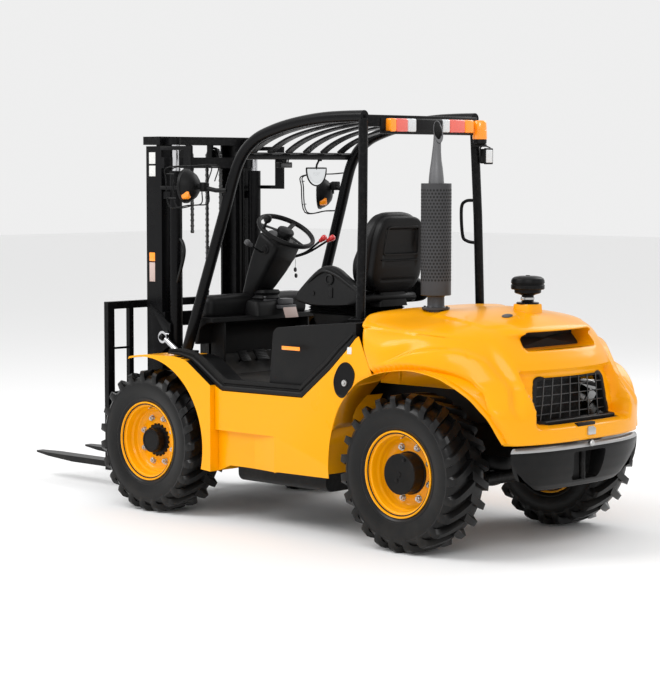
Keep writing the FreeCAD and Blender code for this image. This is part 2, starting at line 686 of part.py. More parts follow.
def guardFrame():
    sides = both(guardSide())
    rear = box(-guardRoofHalf, guardRoofHalf, rearPostY - 28, rearPostY + 22, roofTop - 82, roofTop - 22)
    front = rod((-guardRoofHalf - 8, -1385, 1925), (guardRoofHalf + 8, -1385, 1925), 20)
    grip = bentTube([(-guardRoofHalf - 20, rearPostY - 10, 1690), (-guardRoofHalf - 12, rearPostY - 92, 1650),
                     (-guardRoofHalf - 22, rearPostY - 92, 1500),
                      (-guardRoofHalf - 32, rearPostY, 1462)], 9, 30)
    return fuse(sides[0], sides[1], rear, front, grip)


roofBarXs = [-340 + 136 * i for i in range(6)]


def roofBars():
    """Flat bars from the front crossbar to the rear beam, following the curve of the roof."""
    bars = []
    for x in roofBarXs:
        top = [(-1370, 1950), ("curve", [(-1240, 2017), (-1100, 2057), (-900, 2090), (-700, 2108),
                                        (rearPostY - 28 - seat, roofTop - 30)])]
        low = [(rearPostY - 28 - seat, roofTop - 42), ("curve", [(-700, 2096), (-900, 2078), (-1100, 2045),
                                                                (-1240, 2004), (-1362, 1941)])]
        bars.append(sidePlate(x - 24, x + 24, top + low))
    return bars


def lightBar():
    return box(-355, 330, rearPostY + 22 + seat, rearPostY + 60, roofTop - 82, roofTop - 24)


beaconX, beaconY = -505.0, -505.0


def beacon():
    base = rod((beaconX, beaconY, 1985), (beaconX, beaconY, 2012), 34)
    lens = rod((beaconX, beaconY, 2012), (beaconX, beaconY, 2112), 38)
    bracket = box(beaconX - 10, -guardRoofHalf - 23, beaconY - 14, beaconY + 14, 1985, 1993)
    return fuse(base, lens, bracket)


headlampX, headlampY, headlampZ = 520.0, -1600.0, 1765.0


def lamps():
    """Two round headlamps on the front posts, a rear work lamp and a small lamp under the roof."""
    head = cone((headlampX, headlampY, headlampZ), (headlampX, headlampY - 66, headlampZ), 48, 88)
    ring = rod((headlampX, headlampY - 66, headlampZ), (headlampX, headlampY - 78, headlampZ), 92)
    ends = [(leaned(z), y, z) for y, z in roofLine[:2]]
    armZ = headlampZ - 23
    postY = ends[0][1] + (ends[1][1] - ends[0][1]) * (armZ - ends[0][2]) / (ends[1][2] - ends[0][2])
    arm = rod((headlampX, headlampY - 5, headlampZ), (leaned(armZ), postY, armZ), 11)
    arm = arm.cut(rod(*ends, guardTube + seat))
    work = box(beaconX - 30, beaconX + 34, beaconY + 22, beaconY + 62, 1882, 1962)
    hang = box(beaconX - 5, beaconX + 5, beaconY + 10, beaconY + 30, 1955, 1985 - seat)
    small = box(25, 115, -1412, -1382, 1866, 1890)
    stem = rod((70, -1388, 1885), (70, -1387, 1905 - seat), 6)
    return both(fuse(head, ring, arm)) + [fuse(work, hang), fuse(small, stem)]


def mirrors():
    """Half-round inside mirror hanging from the front crossbar."""
    glass = frontPlate(-1424, -1408, [(-275, 1858), (-125, 1858), ("arc", (-200, 1768), (-275, 1858))])
    stem = rod((-200, -1412, 1850), (-200, -1390, 1904.5), 6)
    return fuse(glass, stem)


# ---- mast ----
outerHalf = 354.0
outerFlange = 70.0
railWall = 14.0
innerHalf = outerHalf - outerFlange - moveGap
innerFlange = 62.0
crossbarHeight = 46.0
rollerClear = 0.4
barrelRadius, liftRodRadius = 36.0, 20.0
liftX, liftY = 305.0, mastRear + barrelRadius + 27.0
railFoot = 150.0


def channel(half, flange, z0, z1):
    """Left mast rail: a channel open towards the middle."""
    block = box(half - flange, half, mastFront, mastRear, z0, z1)
    return block.cut(box(half - flange - 1, half - railWall, mastFront + railWall, mastRear - railWall,
                         z0 - 1, z1 + 1))


rollerRadius = railDepth / 2 - railWall - rollerClear


def roller(x0, x1, z):
    middle = (mastFront + mastRear) / 2
    return rod((x0, middle, z), (x1, middle, z), rollerRadius)


def outerMast():
    """Outer rails, crossbars behind them, pivot ears, tilt gussets and the hose hoops."""
    top = mastTop - crossbarHeight - moveGap - 1
    back, barFront = mastRear - 1, mastRear + moveGap
    flangeInner = outerHalf - outerFlange
    gusset = sidePlate(outerHalf - 2, outerHalf + 10, [
        (mastRear - 60, 800), (mastRear - 93, 1100), (mastRear + 77, 995), (mastRear + 77, 880)])
    pin = rod((outerHalf, tiltFrontY, tiltFrontZ), (tiltX + 26, tiltFrontY, tiltFrontZ), tiltPinRadius)
    ear = sidePlate(earInner, earOuter, [(barFront + 2, 365), (barFront + 2, 470), (pivotY + 6, 470),
                                         ("arc", (pivotY + 50, pivotZ), (pivotY + 6, 365))])
    hoopX = (outerHalf - 8, outerHalf + 8)
    hoop = fuse(box(*hoopX, back, mastRear + 250, 1742, 1762),
                box(*hoopX, mastRear + 190, mastRear + 250, 1742, 1982),
                box(*hoopX, back, mastRear + 250, 1960, 1982))
    solids = both(fuse(channel(outerHalf, outerFlange, railFoot, top), gusset, pin, ear, hoop))
    for z0, z1 in ((280, 366), (980, 1060), (1860, 1920)):
        solids.append(box(-outerHalf, outerHalf, barFront, mastRear + 22, z0, z1))
        for side in (1, -1):
            x0, x1 = sorted((side * flangeInner, side * outerHalf))
            solids.append(box(x0, x1, back, barFront + 1, z0, z1))
    solid = fuse(*solids)
    for side in (1, -1):
        bore = rod((side * 200, pivotY, pivotZ), (side * 340, pivotY, pivotZ), pivotRadius + runClear)
        solid = solid.cut(bore)
    return solid


def liftCylinders():
    """Barrels behind the outer rails, with their feet and upper straps."""
    top = railFoot + liftStroke + 195
    barrel = rod((liftX, liftY, railFoot + 20), (liftX, liftY, top), barrelRadius)
    flange = outerHalf - outerFlange + 1
    foot = box(flange, outerHalf - 2, mastRear + seat, liftY + 30, railFoot, railFoot + 24)
    strap = box(flange, outerHalf - 9, mastRear + seat, liftY, 1690, 1730)
    lower = box(flange, outerHalf - 9, mastRear + seat, liftY, 620, 650)
    solid = fuse(barrel, foot, strap, lower)
    bore = rod((liftX, liftY, railFoot + 36), (liftX, liftY, top + 5), liftRodRadius + runClear)
    return both(solid.cut(bore))


def innerMast():
    """Inner rails, their bottom rollers, the top crossbar and the two chain sheaves."""
    top = mastTop - crossbarHeight
    low = railFoot + 30
    rail = channel(innerHalf, innerFlange, low, top + 4)
    bearing = roller(innerHalf - 1, outerHalf - railWall - 4, low + 70)
    solids = both(fuse(rail, bearing))
    solids.append(box(-outerHalf - 16, outerHalf + 16, mastFront - 6, mastRear + 6, top, mastTop))
    for side in (1, -1):
        solids.append(rod((side * liftX, liftY, top), (side * liftX, liftY, mastTop - 8), 30))
        solids.append(box(*sorted((side * (liftX - 30), side * (liftX + 30))), mastRear, liftY,
                          top, mastTop - 8))
        solids.append(rod((side * (chainX - 14), chainY, sheaveZ), (side * (chainX + 14), chainY, sheaveZ),
                          sheaveRadius))
        solids.append(box(*sorted((side * (chainX - 34), side * (chainX - 20))), chainY - 20, chainY + 20,
                          sheaveZ - 30, top + 4))
        solids.append(rod((side * (chainX - 30), chainY, sheaveZ), (side * chainX, chainY, sheaveZ), 12))
    solids.append(box(-innerHalf + 2, innerHalf - 2, mastRear - railWall, mastRear, low, low + 70))
    return fuse(*solids)


chainX, chainY = 110.0, mastFront + 56.0
sheaveRadius = 48.0
sheaveZ = mastTop - crossbarHeight - 72.0
chainHalf = 8.0
chainLow = 450.0


def liftChains():
    """Two leaf chains over the sheaves of the inner mast."""
    solids = []
    for side in (1, -1):
        x0, x1 = side * chainX - 9, side * chainX + 9
        r0, r1 = sheaveRadius + seat, sheaveRadius + 2 * chainHalf
        path = sidePlate(x0, x1, [
            (chainY - r1, chainLow), (chainY - r1, sheaveZ),
            ("arc", (chainY, sheaveZ + r1), (chainY + r1, sheaveZ)),
            (chainY + r1, 1500), (chainY + r0, 1500), (chainY + r0, sheaveZ),
            ("arc", (chainY, sheaveZ + r0), (chainY - r0, sheaveZ)), (chainY - r0, chainLow)])
        solids.append(path)
    return solids


def liftRods():
    top = mastTop - crossbarHeight
    return both(rod((liftX, liftY, railFoot + 45), (liftX, liftY, top - seat), liftRodRadius))


# ---- carriage and forks ----
plateFront = forkFaceY + forkThickness + seat
plateThickness = 34.0
carriageLow, carriageHigh = 165.0, 545.0
barHeight = 78.0
hookReach = 16.0
backrestHalf, backrestTop = 580.0, 1118.0
carriageHalf = 540.0


def forkCarriage():
    """Two fork bars joined by uprights, whose rollers run inside the inner mast rails."""
    y0, y1 = plateFront, plateFront + plateThickness
    solids = [box(-carriageHalf, carriageHalf, y0, y1, z, z + barHeight)
              for z in (carriageLow, carriageHigh - barHeight)]
    web = innerHalf - railWall
    rollerTop = mastTop - crossbarHeight - liftStroke - moveGap
    for side in (1, -1):
        x0, x1 = sorted((side * (web - 76), side * (web - 54)))
        solids.append(box(x0, x1, y0 + 2, y1 + 20, carriageLow + hookReach + 3, carriageHigh - hookReach - 3))
        solids.append(box(x0, x1, y1 + 18, mastRear - 24, carriageLow + 20, rollerTop))
        for z in (carriageLow + 75, rollerTop - rollerRadius - 2):
            solids.append(roller(*sorted((side * (web - 60), side * (web - 3))), z))
        solids.append(box(*sorted((side * (chainX + 20), side * (web - 56))), chainY - 20, chainY + 10,
                          rollerTop - 46, rollerTop - 6))
    return fuse(*solids)


def loadBackrest():
    """Grid above the carriage, standing in the plane of the fork shanks."""
    y0, y1 = forkFaceY, plateFront - seat
    tall = [box(x0, x0 + 48, y0, y1, carriageLow + 10, backrestTop - 4)
            for x0 in (backrestHalf - 48, -backrestHalf)]
    slim = [box(x0, x0 + 32, y0 + 6, y1, carriageHigh - barHeight, backrestTop - 4) for x0 in (391, -423)]
    middle = [box(x - 12, x + 12, y0 + 6, y1 - 8, carriageHigh + 60, backrestTop - 4) for x in (-160, 160)]
    top = box(-backrestHalf, backrestHalf, y0, y1, backrestTop - 42, backrestTop)
    low = box(-backrestHalf, backrestHalf, y0 + 6, y1 - 8, carriageHigh + 44, carriageHigh + 68)
    tie = [box(*xs, y0 + 12, y0 + 22, 850, 862)
           for xs in ((400, backrestHalf - 20), (-backrestHalf + 20, -400))]
    return fuse(top, low, *(tall + slim + middle + tie))


def fork(side):
    x0 = side * (forkGap / 2 + forkWidth / 2) - forkWidth / 2
    y0, y1 = forkFaceY, forkFaceY + forkThickness
    heel = 45.0
    bladeTop = forkGround + forkThickness
    taperY = forkTipY + 0.34 * forkLength
    blade = sidePlate(x0, x0 + forkWidth, [
        (y1, carriageHigh + 14), (y0, carriageHigh + 14), (y0, bladeTop + heel),
        ("arc", (y0 - heel * 0.29, bladeTop + heel * 0.29), (y0 - heel, bladeTop)),
        (forkTipY, bladeTop), (forkTipY, bladeTop - 12), (taperY, forkGround), (y1 - 22, forkGround),
        ("arc", (y1 - 6, forkGround + 6), (y1, forkGround + 22))])
    tip = topPlate(0, 400, [(x0 - 1, forkTipY - 1), (x0 + 26, forkTipY - 1), (x0 - 1, forkTipY + 150)])
    tip2 = topPlate(0, 400, [(x0 + forkWidth + 1, forkTipY - 1), (x0 + forkWidth - 26, forkTipY - 1),
                             (x0 + forkWidth + 1, forkTipY + 150)])
    blade = blade.cut(tip).cut(tip2)
    hooks = []
    back = plateFront + plateThickness
    for z0, z1, tip in ((carriageHigh + seat, carriageHigh + 14, carriageHigh - hookReach),
                        (carriageLow - 14, carriageLow - seat, carriageLow + hookReach)):
        arm = box(x0 + 4, x0 + forkWidth - 4, y1 - 2, back + 13, z0, z1)
        hook = box(x0 + 4, x0 + forkWidth - 4, back + 1, back + 13, min(z0, tip), max(z1, tip))
        hooks += [arm, hook]
    return fuse(blade, *hooks)


# ---- tilt cylinders ----
tiltLength = math.hypot(tiltFrontY - tiltRearY, tiltFrontZ - tiltRearZ)


def onTilt(distance, x=tiltX):
    """Point on the tilt cylinder's axis, measured from its rear pin."""
    t = distance / tiltLength
    return (x, tiltRearY + (tiltFrontY - tiltRearY) * t, tiltRearZ + (tiltFrontZ - tiltRearZ) * t)


tiltBarrelRadius, tiltRodRadius = 28.0, 15.0
tiltBarrelEnd = 440.0


def tiltBarrels():
    eye = rod((tiltX - 24, tiltRearY, tiltRearZ), (tiltX + 24, tiltRearY, tiltRearZ), 34)
    barrel = rod(onTilt(20), onTilt(tiltBarrelEnd), tiltBarrelRadius)
    solid = fuse(eye, barrel)
    solid = solid.cut(rod((tiltX - 60, tiltRearY, tiltRearZ), (tiltX + 60, tiltRearY, tiltRearZ),
                          tiltRearPin + runClear))
    return both(solid.cut(rod(onTilt(50), onTilt(tiltBarrelEnd + 5), tiltRodRadius + runClear)))


def tiltRods():
    eye = rod((tiltX - 12, tiltFrontY, tiltFrontZ), (tiltX + 12, tiltFrontY, tiltFrontZ), 34)
    shaft = rod(onTilt(170), onTilt(tiltLength - 20), tiltRodRadius)
    solid = fuse(eye, shaft)
    return both(solid.cut(rod((tiltX - 60, tiltFrontY, tiltFrontZ), (tiltX + 60, tiltFrontY, tiltFrontZ),
                              tiltPinRadius + 7)))


def steeringRod():
    """Through rod of the steering cylinder with an eye over each steering arm."""
    shaft = rod((-armX, steerArm, steerRodZ), (armX, steerArm, steerRodZ), steerRodRadius)
    eyes = [rod((s * armX, steerArm, steerRodZ - 12), (s * armX, steerArm, steerRodZ + 16), 24)
            for s in (1, -1)]
    return fuse(shaft, *eyes)


# ---- hood ----
hoodTop = 1172.0
hoodHalf = 690.0
crownFoot = hoodTop - 342.0    # where the hood's sides begin to lean in
crownReach = tailReach - 30.0
skirtTop = 850.0
recessY = 515.0            # panel between the tail's two flares
recessLow, recessHigh = 628.0, 880.0
grilleY = 490.0
grilleHigh, grilleLow = 852.0, 634.0
grilleTopHalf, grilleLowHalf = 256.0, 288.0
scoopY = 330.0
scoopLow, scoopHigh = 990.0, 1058.0
stackX, stackY = 250.0, -150.0
stackGuardRadius = 76.0
stackGuardLow, stackGuardHigh = 1228.0, 1782.0
stackPipeTop = 2085.0
cleanerX, cleanerY = 0.0, 235.0
cleanerPadTop = 1192.0
cleanerBowlLow, cleanerTop = 1236.0, 1330.0


def crownWire(t, wall, z):
    """Plan of the hood's body at the fraction t of the crown's height."""
    front = (bodyHalf - 5) * (1 - t ** 10) ** 1.8 - wall
    half = hoodHalf * (1 - t ** 6) ** 1.2 - wall
    reach = crownReach * (1 - 0.44 * t - 0.36 * t ** 12) - wall
    plan = tailPlan(half, reach, 0.0, 2.1)
    return outline(at(lambda x, y: Vec(x, y, z), plan + [(-front, -500), (front, -500)]))


def hoodForm(wall):
    """The hood as a full body: a crowned body, a squarer skirt round the tail, less the tail's recess."""
    height = hoodTop - crownFoot
    wires = [crownWire(0, wall, hoodBottom - 200)]
    for t in (0, 0.2, 0.4, 0.58, 0.69, 0.77, 0.85, 0.93, 0.98):
        wires.append(crownWire(t, wall, crownFoot + t * height - (wall if t else 0)))
    crown = Part.makeLoft(wires, True, True)
    wires = []
    for scale, z in ((1.0, hoodBottom - 200), (1.0, 700.0), (0.95, 775.0 - wall), (0.87, skirtTop - wall)):
        plan = tailPlan(tailSpread * scale - wall, tailReach * scale - wall, 0.0)
        wires.append(outline(at(lambda x, y: Vec(x, y, z), plan)))
    w = hoodHalf - wall
    skirt = Part.makeLoft(wires, True, True)
    skirt = skirt.common(box(-w, w, -1, tailReach + 50, hoodBottom - 210, skirtTop + 10))
    recess = frontPlate(recessY - wall, tailReach + 50, [
        (-335 - wall, recessLow - wall), (335 + wall, recessLow - wall), (300 + wall, recessHigh + wall),
        (-300 - wall, recessHigh + wall)])
    return fuse(crown, skirt).cut(recess)


def hoodRegion():
    """Everything behind the seam and above the counterweight."""
    return sidePlate(-900, 900, [seamAt(1400), seamAt(500), (900, 500), (900, 1400)])


def archOutline(grow):
    """Rear arch opening, grown outwards by grow."""
    centre = (70, 420)
    points = []
    for y, z in rearArchLip:
        d = math.hypot(y - centre[0], z - centre[1])
        points.append((y + (y - centre[0]) / d * grow, z + (z - centre[1]) / d * grow))
    return [points[0], ("curve", points[1:]), (points[-1][0], 200), (points[0][0], 200)]


def windowOutline(grow):
    """Tail opening for the grille, grown outwards by grow."""
    return [(-grilleTopHalf - grow, grilleHigh + grow), (grilleTopHalf + grow, grilleHigh + grow),
            (grilleLowHalf + grow, grilleLow - grow), (-grilleLowHalf - grow, grilleLow - grow)]


def scoopOutline(grow):
    """Tail opening for the scoop, grown outwards by grow."""
    return [(-270 - grow, scoopHigh + grow), (270 + grow, scoopHigh + grow), (282 + grow, scoopLow - grow),
            (-282 - grow, scoopLow - grow)]


def hood():
    """Panel skin with its arch liners, window sleeves and hinge."""
    outer, inner = hoodForm(0), hoodForm(panelWall)
    shell = outer.cut(inner)
    for side in (1, -1):
        shell = shell.cut(sidePlate(side * 400, side * 900, archOutline(0)))
    band = sidePlate(430, 900, archOutline(panelWall)).cut(sidePlate(420, 910, archOutline(0)))
    added = fuse(*both(band)).common(outer).Solids
    added.append(frontPlate(grilleY - 6, tailReach + 50, windowOutline(panelWall)).common(outer))
    added.append(frontPlate(scoopY, tailReach + 50, scoopOutline(panelWall)).common(outer))
    for piece in added:
        shell = shell.fuse(piece)
    shell = shell.common(hoodRegion().common(box(-900, 900, -900, 900, hoodBottom, 1500)))
    shell = shell.cut(frontPlate(380, 900, windowOutline(0)))
    shell = shell.cut(frontPlate(scoopY - 60, 900, scoopOutline(0)))
    knuckle = rod((-26, hingeY, hingeZ), (26, hingeY, hingeZ), hingeKnuckle)
    leaf = box(-26, 26, tailReach - 26, hingeY, hingeZ - 4, hingeZ + 10)
    shell = shell.fuse(leaf).fuse(knuckle)
    return shell.cut(rod((-60, hingeY, hingeZ), (60, hingeY, hingeZ), hingePin + runClear))


def hoodGrille():
    """Wire mesh guard in a frame behind the tail opening."""
    depth = 10.0
    frame = frontPlate(grilleY, grilleY + depth, windowOutline(-seat)).cut(
        frontPlate(grilleY - 1, grilleY + depth + 1, windowOutline(-14)))
    bars = [box(x - 3, x + 3, grilleY + 2, grilleY + 8, grilleLow, grilleHigh) for x in range(-200, 201, 80)]
    bars += [box(-270, 270, grilleY + 2, grilleY + 8, z - 3, z + 3) for z in range(675, 850, 45)]
    mesh = fuse(*bars).common(frontPlate(grilleY, grilleY + depth, windowOutline(-2)))
    return fuse(frame, *mesh.Solids)


def exhaustStack():
    """Upright silencer in a round guard, with a pipe whose slanted mouth faces rearwards."""
    def upright(low, high, radius):
        return rod((stackX, stackY, low), (stackX, stackY, high), radius)

    flange = upright(hoodTop - 80, hoodTop + 2, 80)
    neck = upright(hoodTop - 5, stackGuardLow + 17, 48)
    guard = upright(stackGuardLow, stackGuardHigh, stackGuardRadius)
    pipe = cone((stackX, stackY, stackGuardHigh - 2), (stackX, stackY, 1960), 42, 24)
    tail = upright(1955, stackPipeTop, 25)
    mouth = sidePlate(stackX - 60, stackX + 60, [
        (stackY - 80, stackPipeTop + 25), (stackY + 80, stackPipeTop - 115),
        (stackY + 80, stackPipeTop + 35)])
    solid = fuse(flange, neck, guard, pipe, tail).cut(mouth).cut(upright(1940, 2120, 21))
    return solid.cut(hoodForm(0).translated(Vec(0, 0, seat)))


def airPrecleaner():
    """Mushroom-shaped air inlet on its pad."""
    def upright(low, high, radius):
        return rod((cleanerX, cleanerY, low), (cleanerX, cleanerY, high), radius)

    pad = upright(hoodTop - 80, cleanerPadTop, 64)
    neck = upright(cleanerPadTop - 12, cleanerBowlLow + 4, 26)
    bowl = upright(cleanerBowlLow, cleanerTop - 30, 66)
    cap = upright(cleanerBowlLow + 26, cleanerTop, 84)
    return fuse(pad, neck, bowl, cap).cut(hoodForm(0).translated(Vec(0, 0, seat)))


# ---- all nodes ----
save("chassis_frame", chassis())
save("side_tanks", *sideTanks())
save("front_axle", frontAxle())
save("rear_axle", rearAxle())
save("rear_knuckle_left", knuckle())
save("rear_knuckle_right", mirror(knuckle()))
save("steering_rod", steeringRod())
save("counterweight", counterweight())
save("engine_block", engineBlock())
save("radiator", radiator())
save("front_fender_left", frontFender())
save("front_fender_right", mirror(frontFender()))
save("side_panel_left", sidePanel())
save("side_panel_right", mirror(sidePanel()))
save("sill_trims", *sillTrims())
save("floor_plate", floorPlate())
save("seat_deck", seatDeck())
save("dash_cowl", dashCowl())
save("steering_column", steeringColumn())
save("steering_wheel", steeringWheel())
save("operator_controls", *operatorControls())
save("seat_base", seatBase())
save("seat_cushion", seatCushion())
save("seat_backrest", seatBackrest())
save("guard_frame", guardFrame())
save("roof_bars", *roofBars())
save("light_bar", lightBar())
save("beacon", beacon())
save("lamps", *lamps())
save("mirrors", mirrors())
save("outer_mast", outerMast())
save("lift_cylinders", *liftCylinders())
save("inner_mast", innerMast())
save("lift_rods", *liftRods())
save("lift_chains", *liftChains())
save("fork_carriage", forkCarriage())
save("load_backrest", loadBackrest())
save("fork_left", fork(1))
save("fork_right", fork(-1))
save("tilt_barrels", *tiltBarrels())
save("tilt_rods", *tiltRods())
save("hood", hood())
save("hood_grille", hoodGrille())
save("exhaust_stack", exhaustStack())
save("air_precleaner", airPrecleaner())

for name, shape in pieces.items():
    shape.exportStep(os.path.join("parts", name + ".step"))
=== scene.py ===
import json
import math
import bpy
import bmesh
import numpy as np
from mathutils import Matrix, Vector

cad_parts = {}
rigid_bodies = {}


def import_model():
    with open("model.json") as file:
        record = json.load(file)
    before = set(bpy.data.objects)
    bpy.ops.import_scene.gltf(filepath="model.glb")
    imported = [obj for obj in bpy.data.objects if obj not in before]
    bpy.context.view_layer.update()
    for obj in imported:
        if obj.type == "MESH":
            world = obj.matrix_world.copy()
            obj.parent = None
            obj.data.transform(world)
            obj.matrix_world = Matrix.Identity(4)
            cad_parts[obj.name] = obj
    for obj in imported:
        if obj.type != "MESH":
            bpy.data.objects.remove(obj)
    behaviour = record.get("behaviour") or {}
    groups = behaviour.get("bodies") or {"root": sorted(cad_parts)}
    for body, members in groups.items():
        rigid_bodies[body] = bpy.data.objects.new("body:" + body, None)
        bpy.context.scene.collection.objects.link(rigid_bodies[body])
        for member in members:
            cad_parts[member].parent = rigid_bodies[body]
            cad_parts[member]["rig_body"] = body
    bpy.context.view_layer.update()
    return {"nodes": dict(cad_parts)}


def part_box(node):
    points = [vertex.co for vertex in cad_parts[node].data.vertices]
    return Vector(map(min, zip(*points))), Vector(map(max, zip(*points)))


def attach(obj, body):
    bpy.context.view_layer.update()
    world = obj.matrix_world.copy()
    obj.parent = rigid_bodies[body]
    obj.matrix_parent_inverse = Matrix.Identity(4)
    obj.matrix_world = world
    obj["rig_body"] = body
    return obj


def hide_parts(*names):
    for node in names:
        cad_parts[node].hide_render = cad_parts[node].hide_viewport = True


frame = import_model()
nodes = frame["nodes"]
pi = math.pi
print("frame loaded:", len(nodes), "nodes")

# lengths along the vehicle are counted from the rear axle; shift moves them into the frame
shift = (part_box("tyre_rear_left")[0].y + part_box("tyre_rear_left")[1].y) / 2
vehicle = {"wheelbase": 1.85, "axleHeight": 0.385, "frontTrackHalf": 0.558, "rearTrackHalf": 0.583}
meshLooks = {"merge": 1e-6, "nodeMerge": 2e-5, "flat": 0.6, "bevelAngle": 32, "bevelSteps": 2}


# quads between neighbours of an nu by nv grid; loopU and loopV join its last row or column to the first
def gridFaces(nu, nv, loopU, loopV):
    i = np.arange(nu if loopU else nu - 1)
    j = np.arange(nv if loopV else nv - 1)
    i, j = np.meshgrid(i, j, indexing="ij")
    a, b = i * nv + j, ((i + 1) % nu) * nv + j
    c, d = ((i + 1) % nu) * nv + (j + 1) % nv, i * nv + (j + 1) % nv
    return np.stack([a, b, c, d], -1).reshape(-1, 4)


# a part is a pair of points (n, 3) and a list of face arrays; this one is a grid of points (nu, nv, 3)
def sheet(grid, loopU=False, loopV=False):
    return grid.reshape(-1, 3), [gridFaces(*grid.shape[:2], loopU, loopV)]


# a stack of rings (nu, nv, 3) with both ends closed by one face each
def capped(grid):
    nu, nv = grid.shape[:2]
    points, faces = sheet(grid, loopV=True)
    return points, faces + [np.arange(nv)[::-1][None], (np.arange(nv) + (nu - 1) * nv)[None]]


# one object from parts; its points are counted from the rear axle
def meshPiece(name, parts, finishName, body, smooth=40):
    points, faces, base = [], [], 0
    for p, fs in parts:
        p = np.asarray(p, float).reshape(-1, 3)
        points.append(p)
        for f in fs:
            faces += (np.asarray(f) + base).tolist()
        base += len(p)
    mesh = bpy.data.meshes.new(name)
    mesh.from_pydata((np.concatenate(points) + [0, shift, 0]).tolist(), [], faces)
    return meshObject(name, mesh, finishName, body, smooth)


# doubles merged, faces turned outwards, edges sharper than smooth kept sharp, an optional rounding of edges
def meshObject(name, mesh, finishName, body, smooth, bevel=0.0):
    work = bmesh.new()
    work.from_mesh(mesh)
    bmesh.ops.remove_doubles(work, verts=work.verts, dist=meshLooks["merge"])
    bmesh.ops.dissolve_degenerate(work, edges=work.edges, dist=meshLooks["merge"] / 10)
    bmesh.ops.recalc_face_normals(work, faces=work.faces)
    work.to_mesh(mesh)
    work.free()
    mesh.polygons.foreach_set("use_smooth", np.ones(len(mesh.polygons), bool))
    mesh.set_sharp_from_angle(angle=math.radians(smooth))
    mesh.materials.clear()
    mesh.materials.append(finishes[finishName])
    piece = bpy.data.objects.new(name, mesh)
    bpy.context.scene.collection.objects.link(piece)
    if bevel:
        made = piece.modifiers.new("edges", "BEVEL")
        made.width, made.segments, made.limit_method = bevel, meshLooks["bevelSteps"], "ANGLE"
        made.angle_limit, made.harden_normals = math.radians(meshLooks["bevelAngle"]), True
    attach(piece, body)
    return piece


# CAD nodes with their edges rounded: a merged copy of each stands for it
def softened(names, finishName, bevel):
    for name in names.split():
        mesh = nodes[name].data.copy()
        work = bmesh.new()
        work.from_mesh(mesh)
        bmesh.ops.remove_doubles(work, verts=work.verts, dist=meshLooks["nodeMerge"])
        bmesh.ops.dissolve_limit(work, angle_limit=math.radians(meshLooks["flat"]), verts=work.verts,
                                 edges=work.edges)
        work.to_mesh(mesh)
        work.free()
        piece = meshObject(name + "_looks", mesh, finishName, nodes[name]["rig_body"], 38, bevel)
        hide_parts(name)


def thicken(piece, thickness, offset):
    wall = piece.modifiers.new("wall", "SOLIDIFY")
    wall.thickness, wall.offset = thickness, offset


# profile of (along, radius) pairs carried round an axis through centre: radius cos t across, radius sin t up
def turned(profile, centre, axis, steps):
    profile = np.asarray(profile, float)
    t = np.linspace(0, 2 * pi, steps, endpoint=False)[:, None]
    along = np.broadcast_to(profile[None, :, 0], (steps, len(profile)))
    across, up = profile[:, 1] * np.cos(t), profile[:, 1] * np.sin(t)
    order = {"x": (along, across, up), "y": (across, along, up), "z": (across, up, along)}[axis]
    return sheet(np.stack(order, -1) + np.asarray(centre, float), loopU=True)


# the same part at many places: points is (places, n, 3)
def repeated(points, faces):
    count, n = points.shape[:2]
    step = (np.arange(count) * n)[:, None, None]
    return points.reshape(-1, 3), [(f[None] + step).reshape(-1, f.shape[-1]) for f in faces]


def placed(part, matrix, offset=(0, 0, 0)):
    points, faces = part
    points = np.asarray(points, float)
    if matrix is not None:
        points = points @ np.asarray(matrix, float).T
    return points + np.asarray(offset, float), faces


def mirrored(part):
    points, faces = part
    return np.asarray(points) * [-1, 1, 1], faces


def bothSides(parts):
    return parts + [mirrored(part) for part in parts]


def turnX(angle):
    c, s = math.cos(angle), math.sin(angle)
    return np.array([[1, 0, 0], [0, c, -s], [0, s, c]])


def turnZ(angle):
    c, s = math.cos(angle), math.sin(angle)
    return np.array([[c, -s, 0], [s, c, 0], [0, 0, 1]])


# 0 up to start, 1 from start + width, and 3 x^2 - 2 x^3 between; fall comes down the same way and ends at end
def rise(value, start, width):
    x = np.clip((value - start) / width, 0, 1)
    return x * x * (3 - 2 * x)


def fall(value, end, width):
    return rise(end - value, 0, width)


def runLength(x, y):
    return np.concatenate([[0], np.cumsum(np.hypot(np.diff(x), np.diff(y)))])


# cubic through the points: each span is a Hermite curve with neighbour slopes
def smoothPath(points, steps=8):
    p = np.asarray(points, float)
    slopes = np.gradient(p, axis=0)
    t = np.linspace(0, 1, steps, endpoint=False)[:, None, None]
    h00, h10 = 2 * t ** 3 - 3 * t ** 2 + 1, t ** 3 - 2 * t ** 2 + t
    h01, h11 = -2 * t ** 3 + 3 * t ** 2, t ** 3 - t ** 2
    spans = h00 * p[:-1] + h10 * slopes[:-1] + h01 * p[1:] + h11 * slopes[1:]
    return np.concatenate([spans.transpose(1, 0, 2).reshape(-1, p.shape[1]), p[-1:]])


def closedPath(points, steps=5):
    p = np.asarray(points, float)
    looped = smoothPath(np.concatenate([p[-2:], p, p[:3]]), steps)
    return looped[2 * steps:(2 + len(p)) * steps]


# a circle of the given radius (one, or one per point) carried along a path, closed at both ends
def tube(path, radius, sides, up=(0, 0, 1)):
    path = np.asarray(path, float)
    along = np.gradient(path, axis=0)
    along /= np.maximum(np.linalg.norm(along, axis=1, keepdims=True), 1e-9)
    side = np.cross(along, np.asarray(up, float))
    side /= np.maximum(np.linalg.norm(side, axis=1, keepdims=True), 1e-9)
    top = np.cross(side, along)
    a = np.linspace(0, 2 * pi, sides, endpoint=False)[None, :, None]
    r = np.broadcast_to(np.asarray(radius, float), (len(path),))[:, None, None]
    return capped(path[:, None] + r * (np.cos(a) * side[:, None] + np.sin(a) * top[:, None]))


